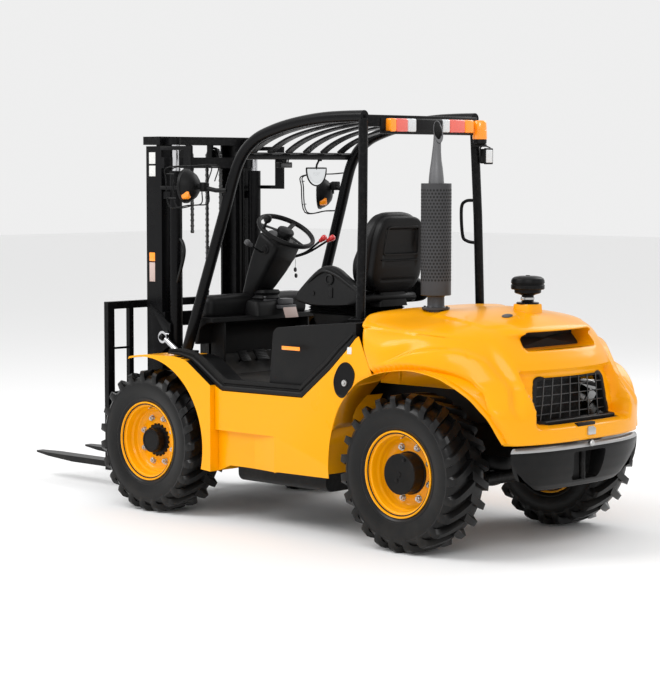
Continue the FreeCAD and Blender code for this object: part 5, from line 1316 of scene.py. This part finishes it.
# overhead guard: a bent tube a side from the front foot over the roof, an upright behind it and
# cross members; the sides lean in from foot to roof, and uprightLine is (height, place behind rear)
guardLooks = {
    "line": [(-1.741, 0.868), (-1.648, 1.132), (-1.555, 1.389), (-1.462, 1.647), (-1.418, 1.775),
             (-1.375, 1.880), (-1.315, 1.960), (-1.230, 2.018), (-1.120, 2.056), (-1.000, 2.084),
             (-0.870, 2.104), (-0.740, 2.116), (-0.600, 2.120), (-0.470, 2.120)],
    "foot": 0.478, "roof": 0.430, "leanFrom": 0.86, "leanRun": 1.26, "rear": -0.478, "tube": 0.030,
    "upright": 0.024, "uprightLine": ((1.100, 0.016), (1.6, 0.014), (2.110, 0.0)),
    "rearPlate": (-0.040, -0.030, 1.0975, 0.040, 0.062, 1.107, 0.002),
    "frontPlate": (-0.045, -1.800, 0.8607, 0.038, -1.690, 0.874, 0.003),
    "rearCross": (-0.430, -0.028, 2.068, 0.430, 0.022, 2.128, 0.005),
    "boltX": 0.03, "boltYs": (-0.012, 0.045),
    "bolt": [(1.105, 0.008), (1.113, 0.008), (1.114, 0.006), (1.114, 0)],
    "cross": [(-0.438, -1.385, 1.925), (0, -1.385, 1.925), (0.438, -1.385, 1.925)], "crossTube": 0.020,
    "handle": [(-0.450, -0.488, 1.690), (-0.444, -0.545, 1.684), (-0.442, -0.572, 1.645),
               (-0.452, -0.572, 1.505), (-0.458, -0.545, 1.472), (-0.462, -0.478, 1.462)],
    "handleTube": 0.009,
    "cowl": (-0.385, -1.800, 1.030, 0.385, -1.655, 1.166, 0.045, 5),
    "cheek": (0.318, -1.795, 0.800, 0.330, -1.600, 1.035, 0.004),
}


def leaned(z):
    look = guardLooks
    return look["foot"] + (look["roof"] - look["foot"]) * (z - look["leanFrom"]) / look["leanRun"]


def makeGuard():
    look, rear = guardLooks, guardLooks["rear"]
    rail = smoothPath([(leaned(z), y, z) for y, z in look["line"]], 5)
    upright = [(leaned(z), rear + back, z) for z, back in look["uprightLine"]]
    low = upright[0][0]
    side = [tube(rail, look["tube"], 20, (1, 0, 0)), tube(upright, look["upright"], 18, (0, 1, 0)),
            placed(block(*look["rearPlate"]), None, (low, rear, 0)),
            placed(block(*look["frontPlate"]), None, (look["foot"], 0, 0))]
    side += [turned(look["bolt"], (low + look["boltX"], rear + y, 0), "z", 6) for y in look["boltYs"]]
    across = [placed(block(*look["rearCross"]), None, (0, rear, 0)),
              tube(look["cross"], look["crossTube"], 14),
              tube(smoothPath(look["handle"], 5), look["handleTube"], 10, (1, 0, 0))]
    piece = meshPiece("guard_tubes", bothSides(side) + across, "mast", "chassis", 38)
    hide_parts("guard_frame")
    # moulded cover over the front cowl, and its cheeks down to the floor
    cover = [block(*look["cowl"])] + bothSides([block(*look["cheek"])])
    meshPiece("cowl_cover", cover, "plastic", "chassis", 35)


panelLooks = {
    "recess": [(-0.463, 0.810), (-0.430, 0.878), (-0.387, 0.904), (-0.345, 0.890), (-0.320, 0.844),
               (-0.345, 0.775), (-0.401, 0.725), (-0.448, 0.745)],
    "recessRows": [(0.655, 1.0), (0.6615, 1.0), (0.6640, 0.985), (0.6640, 0.93), (0.6620, 0.90),
                   (0.6616, 0.5)],
    "cap": [(0.655, 0.017), (0.668, 0.017), (0.671, 0.015), (0.671, 0.009), (0.677, 0.008), (0.679, 0.006),
            (0.679, 0.0)],
    "capAt": (0, -0.386, 0.800), "tag": (0.6595, -0.372, 0.945, 0.6612, -0.342, 0.980, 0.0008),
    "stripe": (0.6595, -0.828, 0.941, 0.6615, -0.700, 0.960, 0.0008), "wedgeHeights": (0.3065, 0.4895),
    "wedge": [(0.6322, -1.12), (0.6345, -1.06), (0.645, -0.97), (0.656, -0.90), (0.6603, -0.874),
              (0.632, -0.874)],
}


# side panels: filler recess and its lock, a tag, a stripe, and the wedge that brings the sunk part of the
# panel out to its rear part
def makeSideDetails():
    look = panelLooks
    recess = capped(bulged(closedPath(look["recess"]), look["recessRows"]))
    wedge = capped(np.stack([np.insert(np.array(look["wedge"]), 2, z, axis=1) for z in look["wedgeHeights"]]))
    meshPiece("filler_recess", bothSides([recess]), "black", "chassis", 30)
    meshPiece("filler_cap", [turned(look["cap"], look["capAt"], "x", 28)], "zinc", "chassis", 35)
    meshPiece("panel_tag", [block(*look["tag"])], "white", "chassis", 30)
    meshPiece("panel_ramps", bothSides([wedge]), "yellow", "chassis", 40)
    # the amber stripe glows with the amber finish, which on this plate is painted light
    meshPiece("panel_stripe", [block(*look["stripe"])], "amber", "chassis", 30)


makeSill()
makeGuard()
makeSideDetails()
print("sills, guard and side details made")

# silencer: round guard with rows of holes painted as near-black plates, a flange with four bolts, a tapered
# pipe and its slanted mouth
stackLooks = {
    "x": 0.250, "y": -0.150, "guard": 0.076, "low": 1.228, "high": 1.785, "pitch": 0.0165, "hole": 0.0061,
    "holesFrom": 1.305, "holesTo": 1.752, "proud": 0.0004, "boltRing": 0.058, "bolts": 4, "firstBolt": 0.4,
    "flange": [(1.130, 0.0), (1.130, 0.050), (1.158, 0.050), (1.158, 0.070), (1.168, 0.070), (1.169, 0.047),
               (1.176, 0.043), (1.22, 0.043), (1.232, 0.052), (1.232, 0)],
    "bolt": [(1.166, 0.006), (1.173, 0.006), (1.1745, 0.004), (1.1745, 0)],
    "pipeRows": [1.78, 1.82, 1.86, 1.90, 1.94, 1.98, 2.02, 2.07, 2.12], "pipeSides": 32,
    "pipe": [(1.78, 0.0395), (1.84, 0.035), (1.90, 0.026), (1.96, 0.0205), (2.0, 0.0192), (2.05, 0.0215),
             (2.12, 0.0245)],
    "lean": 0.012, "leanFrom": (1.90, 0.2), "mouth": 2.063, "mouthSlope": (1.15, 1.955), "mouthFrom": 1.93,
    "mouthSpread": 0.0004, "bore": 0.93, "innerRows": 6,
    "core": 0.97, "coreY": 0.008, "coreSunk": 0.003,
}


def makeStackGuard():
    look, g = stackLooks, stackLooks["guard"]
    centre, low, high = (look["x"], look["y"], 0), look["low"], look["high"]
    guard = [(low, 0.05), (low, g - 0.002), (low + 0.002, g), (low + 0.006, g), (high - 0.006, g),
             (high - 0.002, g), (high, g - 0.002), (high, 0.036)]
    parts = [turned(guard, centre, "z", 64), turned(look["flange"], centre, "z", 40)]
    for a in np.arange(look["bolts"]) * 2 * pi / look["bolts"] + look["firstBolt"]:
        at = np.array(centre) + [look["boltRing"] * math.cos(a), look["boltRing"] * math.sin(a), 0]
        parts.append(turned(look["bolt"], at, "z", 6))
    piece = meshPiece("stack_guard", parts, "exhaust", "engine_hood", 35)
    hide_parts("exhaust_stack")


# rows of small near-black six-sided plates a hair outside the guard paint the shade seen through its holes,
# every other row half a pitch on
def makeStackHoles():
    look, g = stackLooks, stackLooks["guard"]
    count = int(2 * pi * g / look["pitch"])
    rows = np.arange(look["holesFrom"], look["holesTo"], look["pitch"])
    corner = np.arange(6) * pi / 3
    turn = (np.arange(count) + 0.5 * (np.arange(len(rows)) % 2)[:, None]) * 2 * pi / count
    angle = turn[..., None] + look["hole"] * np.cos(corner) / g
    r = g + look["proud"]
    holes = np.stack([look["x"] + r * np.cos(angle), look["y"] + r * np.sin(angle),
                      rows[:, None, None] + look["hole"] * np.sin(corner) + 0 * angle], -1)
    meshPiece("stack_holes", [repeated(holes.reshape(-1, 6, 3), [np.arange(6)[None]])], "paintedShade", "engine_hood")


# pipe: circles that narrow, then a lip cut by a slanting plane; its bore is the same, a little smaller
def makeStackPipe():
    look, n = stackLooks, stackLooks["pipeSides"]
    z = np.array(look["pipeRows"])[:, None]
    radius = np.interp(z, *np.array(look["pipe"]).T)
    a = np.linspace(0, 2 * pi, n, endpoint=False)
    x, y = radius * np.cos(a), look["lean"] * rise(z, *look["leanFrom"]) + radius * np.sin(a)
    cut = look["mouth"] - look["mouthSlope"][0] * x - look["mouthSlope"][1] * y
    cut = np.minimum(z, cut + look["mouthSpread"] * (z - look["mouthFrom"]))
    mid = np.array([look["x"], look["y"], 0])
    grid = np.stack([x, y, np.where(z > look["mouthFrom"], cut, z + 0 * a)], -1) + mid
    inner = ((grid[::-1] - mid) * [look["bore"], look["bore"], 1] + mid)[:look["innerRows"]]
    meshPiece("stack_pipe", [sheet(np.concatenate([grid, inner]), loopV=True)], "pipe", "engine_hood", 50)
    # a near-black sleeve just inside the bore, closed at its foot, paints the shade down the pipe
    mid = mid + [0, look["coreY"], 0]
    core = (inner[:-1] - mid) * [look["core"], look["core"], 1] + mid - [0, 0, look["coreSunk"]]
    points, faces = sheet(core, loopV=True)
    end = np.arange(n)[None] + (len(core) - 1) * n
    meshPiece("stack_bore", [(points, faces + [end])], "paintedShade", "engine_hood", 50)


cleanerLooks = {
    "centre": (0.0, 0.235, 0),
    "pad": [(1.120, 0.056, 0.060, 0.018, 0.235), (1.186, 0.053, 0.056, 0.018, 0.235),
            (1.190, 0.050, 0.053, 0.016, 0.235), (1.190, 0.02, 0.02, 0.01, 0.235)],
    "bowl": [(1.190, 0), (1.190, 0.056), (1.196, 0.056), (1.198, 0.054), (1.199, 0.034), (1.204, 0.030),
             (1.232, 0.030), (1.236, 0.040), (1.242, 0.060), (1.246, 0.066), (1.262, 0.067), (1.262, 0.080),
             (1.266, 0.0835), (1.284, 0.0835), (1.287, 0.080), (1.291, 0.080), (1.294, 0.0835),
             (1.306, 0.0825), (1.316, 0.078), (1.324, 0.066), (1.328, 0.045), (1.329, 0.012), (1.332, 0.010),
             (1.332, 0)],
    "clamp": [(1.212, 0.031), (1.212, 0.0335), (1.222, 0.0335), (1.222, 0.031)],
    "clampLug": (0.026, 0.226, 1.209, 0.046, 0.244, 1.225, 0.002),
}


def makePrecleaner():
    look = cleanerLooks
    meshPiece("cleaner_pad", [stacked(look["pad"], 5)], "yellow", "engine_hood", 35)
    bowl = turned(look["bowl"], look["centre"], "z", 56)
    piece = meshPiece("cleaner_bowl", [bowl], "black", "engine_hood", 32)
    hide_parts("air_precleaner")
    clamp = [turned(look["clamp"], look["centre"], "z", 40), block(*look["clampLug"])]
    meshPiece("cleaner_clamp", clamp, "zinc", "engine_hood", 35)


# light bar: lenses by colour, each (right end, left end), in a housing; beacon; work lamp
lightLooks = {
    "lensBox": (-0.455, 2.044, -0.412, 2.111), "lensRound": (0.008, 3),  # low y, low z, high y, high z
    "amber": ((0.252, 0.294), (-0.355, -0.285)), "red": ((0.165, 0.250), (-0.283, -0.165)),
    "white": ((0.100, 0.163), (-0.163, -0.110)),
    "housing": [(-0.110, -0.455, 2.044, 0.100, -0.416, 2.111, 0.008, 3),
                (-0.358, -0.459, 2.032, 0.330, -0.420, 2.048, 0.004),
                (-0.358, -0.461, 2.040, 0.330, -0.449, 2.114, 0.004)],
    "beacon": (-0.415, -0.425, 0),
    "dome": [(2.012, 0), (2.012, 0.037), (2.016, 0.0385), (2.058, 0.0375), (2.060, 0.0355), (2.063, 0.0355),
             (2.065, 0.037), (2.100, 0.0345), (2.107, 0.031), (2.111, 0.022), (2.112, 0)],
    "beaconFoot": [(1.984, 0), (1.984, 0.026), (1.990, 0.036), (2.008, 0.037), (2.012, 0.035), (2.012, 0)],
    "bracket": (-0.450, -0.475, 1.972, -0.400, -0.405, 1.986, 0.002),
    "lampAt": (-0.458, -0.423, 0), "lampBlocks": [(-0.033, -0.016, 1.884, 0.033, 0.020, 1.962, 0.010, 3),
                                                  (-0.035, 0.016, 1.880, 0.035, 0.028, 1.966, 0.008, 3)],
    "stirrup": (0.040, 1.924, 1.968, 1.982), "lens": (-0.026, 0.024, 1.889, 0.026, 0.031, 1.957, 0.005, 3),
}


def makeLights():
    look = lightLooks
    y0, z0, y1, z1 = look["lensBox"]
    parts = {kind: [block(x0, y0, z0, x1, y1, z1, *look["lensRound"]) for x0, x1 in look[kind]]
             for kind in ("amber", "red", "white")}
    parts["amber"].append(turned(look["dome"], look["beacon"], "z", 48))
    housings = [block(*values) for values in look["housing"]]
    housings += [turned(look["beaconFoot"], look["beacon"], "z", 40), block(*look["bracket"])]
    half, pivot, bend, top = look["stirrup"]
    lamp = [block(*values) for values in look["lampBlocks"]]
    for x in (-half, half):
        lamp.append(tube([(x, 0, pivot), (x, 0, bend), (0, -0.010, top)], 0.004, 8, (1, 0, 0)))
    housings += [placed(part, None, look["lampAt"]) for part in lamp]
    for kind, finishName in (("amber", "amber"), ("red", "red"), ("white", "lens")):
        meshPiece("signal_" + kind, parts[kind], finishName, "chassis", 40)
    holder = meshPiece("signal_housings", housings, "plastic", "chassis", 35)
    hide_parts("light_bar", "beacon", "lamps")
    meshPiece("work_lens", [placed(block(*look["lens"]), None, look["lampAt"])], "lens", "chassis", 40)


# headlamp: a shell lathed about its axis, a clear lens, an amber lamp below and a wire cage, each lamp turned
# about its stalk by the angle given; places holds (x shift, z shift, degrees)
headlampLooks = {
    "at": (0.520, 0, 1.765), "hub": (0.520, -1.600, 0), "places": ((0, 0.0, 20), (-1.04, -0.045, 36)),
    "shell": [(-1.598, 0.0), (-1.600, 0.030), (-1.606, 0.046), (-1.622, 0.066), (-1.645, 0.082),
              (-1.662, 0.088), (-1.664, 0.0925), (-1.678, 0.0925), (-1.680, 0.090), (-1.680, 0.084)],
    "lens": [(-1.680, 0.084), (-1.686, 0.070), (-1.690, 0.04), (-1.691, 0)],
    "turnLamp": [(-1.624, 0.0), (-1.624, 0.019), (-1.632, 0.026), (-1.668, 0.028), (-1.677, 0.024),
                 (-1.681, 0)],
    "turnLampAt": (0.566, 0, 1.722),
    "stalk": [(0.520, -1.610, 1.765), (0.505, -1.560, 1.755), (0.486, -1.495, 1.742), (0.470, -1.430, 1.742)],
    "stalkRadius": [0.016, 0.013, 0.012, 0.012], "clamp": (0.486, -1.580, 1.735, 0.530, -1.545, 1.785, 0.006),
    "drop": [(-0.520, -1.600, 1.765), (-0.520, -1.602, 1.715)],  # stalk of the lower, right lamp
    "cageXs": (0.480, 0.560), "wire": 0.0034,
    "cage": [(-1.520, 1.790), (-1.500, 1.872), (-1.600, 1.872), (-1.765, 1.862), (-1.772, 1.80),
             (-1.752, 1.655), (-1.640, 1.662), (-1.560, 1.672), (-1.556, 1.74)],
    "crossWires": ((-1.768, 1.83), (-1.758, 1.70), (-1.502, 1.868)),
}


def makeHeadlamps():
    look = headlampLooks
    near, far = look["cageXs"]
    cage = []
    for x in (near, far):
        line = smoothPath([(x, y, z) for y, z in look["cage"]], 5)
        cage.append(tube(line, look["wire"], 8, (1, 0, 0)))
    for y, z in look["crossWires"]:
        cage.append(tube([(near, y, z), ((near + far) / 2, y, z), (far, y, z)], look["wire"], 8))
    stalk = [tube(look["stalk"], look["stalkRadius"], 12), block(*look["clamp"])]
    fixed = bothSides(stalk) + [tube(look["drop"], 0.012, 10, (1, 0, 0))]
    groups = (("headlamp_shells", [turned(look["shell"], look["at"], "y", 48)], fixed, "plastic", 35),
              ("headlamp_lenses", [turned(look["lens"], look["at"], "y", 48)], [], "lens", 50),
              ("turn_lamps", [turned(look["turnLamp"], look["turnLampAt"], "y", 28)], [], "amber", 40),
              ("headlamp_cages", cage, [], "black", 50))
    for name, parts, still, finishName, smooth in groups:
        whole = []
        for x, z, degrees in look["places"]:
            spin, hub = turnZ(math.radians(degrees)), np.array(look["hub"])
            whole += [placed(part, spin, hub - spin @ hub + [x, 0, z]) for part in parts]
        meshPiece(name, whole + still, finishName, "chassis", smooth)


roofLampLooks = {"body": (0.022, -1.414, 1.862, 0.118, -1.382, 1.892, 0.004),
                 "face": (0.032, -1.384, 1.868, 0.108, -1.3795, 1.886, 0.002),
                 "stems": ((0.070, 1.888, 1.910, 0.008, 10), (0.050, 1.890, 1.906, 0.004, 8),
                           (0.090, 1.890, 1.906, 0.004, 8))}


def makeRoofLamp():
    look = roofLampLooks
    stems = [tube([(x, -1.388, low), (x, -1.387, high)], radius, sides, (1, 0, 0))
             for x, low, high, radius, sides in look["stems"]]
    meshPiece("roof_lamp", [block(*look["body"])] + stems, "plastic", "chassis", 35)
    meshPiece("roof_lamp_face", [block(*look["face"])], "pale", "chassis")


mirrorLooks = {
    "x": -0.200, "z": 1.860, "half": 0.078, "height": 0.096,
    "glass": [(-1.4165, 0.002), (-1.4135, 0.5), (-1.4145, 0.9), (-1.416, 0.99)],
    "back": [(-1.417, 1.0), (-1.424, 0.96), (-1.428, 0.5), (-1.428, 0.01)],
    "frameY": -1.4165, "frame": 0.0045,
    "stem": [(-0.200, -1.420, 1.850), (-0.200, -1.412, 1.880), (-0.200, -1.392, 1.908)], "stemRadius": 0.0055,
    "foot": [(1.898, 0), (1.898, 0.012), (1.908, 0.012), (1.908, 0)], "footAt": (-0.200, -1.390, 0),
}


# inside mirror: a half disc with a bulging glass, a rolled frame and a bent stem
def makeMirror():
    look = mirrorLooks
    t = np.linspace(0, pi, 24)
    arc = np.stack([look["x"] + look["half"] * np.cos(t), look["z"] - look["height"] * np.sin(t) ** 0.9], -1)
    line = np.concatenate([arc, np.linspace(arc[-1], arc[0], 8)[1:-1]])
    meshPiece("mirror_face", [sheet(bulged(line, look["glass"], 1), loopV=True)], "mirror", "chassis", 60)
    loop = np.insert(np.concatenate([line, line[:1]]), 1, look["frameY"], axis=1)
    parts = [tube(loop, look["frame"], 8, (0, 1, 0)), sheet(bulged(line, look["back"], 1), loopV=True),
             tube(look["stem"], look["stemRadius"], 10, (1, 0, 0)),
             turned(look["foot"], look["footAt"], "z", 16)]
    piece = meshPiece("mirror_frame", parts, "plastic", "chassis", 45)
    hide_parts("mirrors")


makeStackGuard()
makeStackHoles()
makeStackPipe()
makePrecleaner()
makeLights()
makeHeadlamps()
makeRoofLamp()
makeMirror()
print("stack, lamps and mirror made")

# leaf chain: rows of figure-of-eight plates over the sheave, wide and narrow links in turn
chainLooks = {"x": 0.110, "y": -2.147, "sheave": 0.048, "sheaveZ": 1.917, "low": 0.452, "rear": 1.502,
              "pitch": 0.0159, "halves": (0.0088, 0.0064), "stand": 0.0084, "eye": 0.0068, "eyeLength": 1.18}


# middle and turn of every link: up the front run, over the sheave, down the rear run
def chainLinks():
    look = chainLooks
    r = look["sheave"] + look["stand"]
    front = np.arange(look["low"], look["sheaveZ"], look["pitch"])
    turn = np.linspace(pi, 0, int(pi * r / look["pitch"]))
    rear = np.arange(look["sheaveZ"], look["rear"], -look["pitch"])
    y = np.concatenate([0 * front - r, r * np.cos(turn), 0 * rear + r])
    z = np.concatenate([front, look["sheaveZ"] + r * np.sin(turn), rear])
    return y + look["y"], z, np.concatenate([0 * front, turn - pi, 0 * rear])


def makeChains():
    look = chainLooks
    q = np.linspace(0, 2 * pi, 10, endpoint=False)
    eyeY, eyeZ = look["eye"] * np.cos(q), (look["pitch"] / 2 + 0.0005) * np.sin(q) * look["eyeLength"]
    parts = []
    for k, half in enumerate(look["halves"]):
        y, z, angle = (values[k::2, None] for values in chainLinks())
        c, s = np.cos(angle), np.sin(angle)
        y, z = y + (eyeY * c - eyeZ * s), z + eyeY * s + eyeZ * c
        rings = np.stack([np.stack([0 * y + look["x"] + out, y, z], -1) for out in (-half, half)], 1)
        parts.append(repeated(rings.reshape(len(y), -1, 3), capped(rings[0])[1]))
    piece = meshPiece("leaf_chains", bothSides(parts), "steel", nodes["lift_chains"]["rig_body"], 35)
    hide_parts("lift_chains")


# mast trim: blank plates on the left rail, each (low y, low z, high y, high z), the small amber one glowing
# with painted light; hose pairs; a loop of hose
mastLooks = {
    "plates": (("rail_plates", "white", [(-2.178, 1.884, -2.126, 1.948), (-2.178, 1.815, -2.126, 1.874)]),
               ("rail_plates_long", "label", [(-2.180, 1.228, -2.134, 1.335)]),
               ("rail_plates_small", "amber", [(-2.180, 1.342, -2.134, 1.390)])),
    "plateXs": (0.3535, 0.3552), "hoseXs": (-0.262, -0.240, 0.240, 0.262), "hose": 0.0085,
    "run": [(-2.062, 0.40), (-2.058, 0.9), (-2.058, 1.4), (-2.062, 1.86)], "loopHose": 0.010,
    "loop": [(0.300, -2.045, 1.120), (0.315, -2.005, 1.20), (0.325, -1.950, 1.31), (0.320, -1.930, 1.40),
             (0.308, -1.965, 1.46), (0.300, -2.03, 1.475)],
}


def makeMastTrim():
    look = mastLooks
    inner, outer = look["plateXs"]
    for name, finishName, plates in look["plates"]:
        parts = [block(inner, y0, z0, outer, y1, z1, 0.0008) for y0, z0, y1, z1 in plates]
        meshPiece(name, parts, finishName, "mast", 30)
    hoses = [tube(smoothPath([(x, y, z) for y, z in look["run"]], 6), look["hose"], 10, (0, 1, 0))
             for x in look["hoseXs"]]
    hoses.append(tube(smoothPath(look["loop"]), look["loopHose"], 12, (1, 0, 0)))
    meshPiece("mast_hoses", hoses, "rubber", "mast", 60)


capLooks = {"at": (0.187, 0.257, 1.124), "half": (0.034, 0.022, 0.006), "powers": (2.4, 2.0), "proud": 0.002}


# oval cap lying on the hood's top: the nearest patch of the hood gives its place and slope
def makeHoodCap():
    look = capLooks
    i, j = np.unravel_index(np.argmin(((hoodSkin - look["at"]) ** 2).sum(-1)), hoodSkin.shape[:2])
    place = hoodSkin[i, j]
    out = np.cross(hoodSkin[i + 2, j] - place, hoodSkin[i, j + 2] - place)
    out *= np.sign(out[2]) / np.linalg.norm(out)
    along = np.cross([0, 1.0, 0], out)
    along /= np.linalg.norm(along)
    axes = np.stack([along, np.cross(out, along), out], -1)
    cap = placed(capped(pillow(look["half"], look["powers"], 36, 10)), axes, place + look["proud"] * out)
    meshPiece("hood_cap", [cap], "pale", "engine_hood", 50)


makeChains()
makeMastTrim()
makeHoodCap()
print("chains and trim made")

# camera, floor and light; a light is (place, aim, size, power)
cameraLooks = {"place": (8.432, 6.945 + shift, 1.86), "aim": (-0.7204, -0.6891, -0.0785), "lens": 115.2,
               "sensor": 36.0}
studioLooks = {
    "world": 0.86, "floor": 0.92, "floorHalf": 40.0,
    "keyLight": ((5.5, -3.0, 7.5), (0, 0, 0.8), (5, 4), 380),
    "rearLight": ((5.6, 6.6, 6.0), (0, 1.2, 0.9), (4.5, 2.0), 150),
    "farLight": ((-6.5, 1.0, 5.5), (0, 0, 1.0), (4, 4), 150),
}


# an object in the scene that looks along a direction from a place
def aimed(name, data, place, direction):
    made = bpy.data.objects.new(name, data)
    bpy.context.scene.collection.objects.link(made)
    made.location = place
    made.rotation_mode = "QUATERNION"
    made.rotation_quaternion = Vector(direction).to_track_quat("-Z", "Y")
    return made


def makeCamera():
    camera = aimed("camera", bpy.data.cameras.new("camera"), cameraLooks["place"], cameraLooks["aim"])
    camera.data.lens, camera.data.sensor_width = cameraLooks["lens"], cameraLooks["sensor"]
    camera.data.clip_end = 200.0
    bpy.context.scene.camera = camera


def areaLight(name):
    place, aim, size, power = studioLooks[name]
    data = bpy.data.lights.new(name, "AREA")
    data.shape, data.size, data.size_y = "RECTANGLE", size[0], size[1]
    data.energy = power
    aimed(name, data, place, Vector(aim) - Vector(place))


def makeStudio():
    world = bpy.data.worlds.new("studio")
    bpy.context.scene.world = world
    world.use_nodes = True
    world.node_tree.nodes["Background"].inputs["Color"].default_value = (1, 1, 1, 1)
    world.node_tree.nodes["Background"].inputs["Strength"].default_value = studioLooks["world"]
    half = studioLooks["floorHalf"]
    mesh = bpy.data.meshes.new("floor")
    mesh.from_pydata([(-half, -half, 0), (half, -half, 0), (half, half, 0), (-half, half, 0)], [],
                     [(0, 1, 2, 3)])
    floor = bpy.data.objects.new("floor", mesh)
    bpy.context.scene.collection.objects.link(floor)
    mesh.materials.append(finish("paleFloor", (studioLooks["floor"],) * 3, 0.85))
    for name in ("keyLight", "rearLight", "farLight"):
        areaLight(name)


makeCamera()
makeStudio()
bpy.context.scene.view_settings.view_transform = "Standard"
print("camera and studio ready")
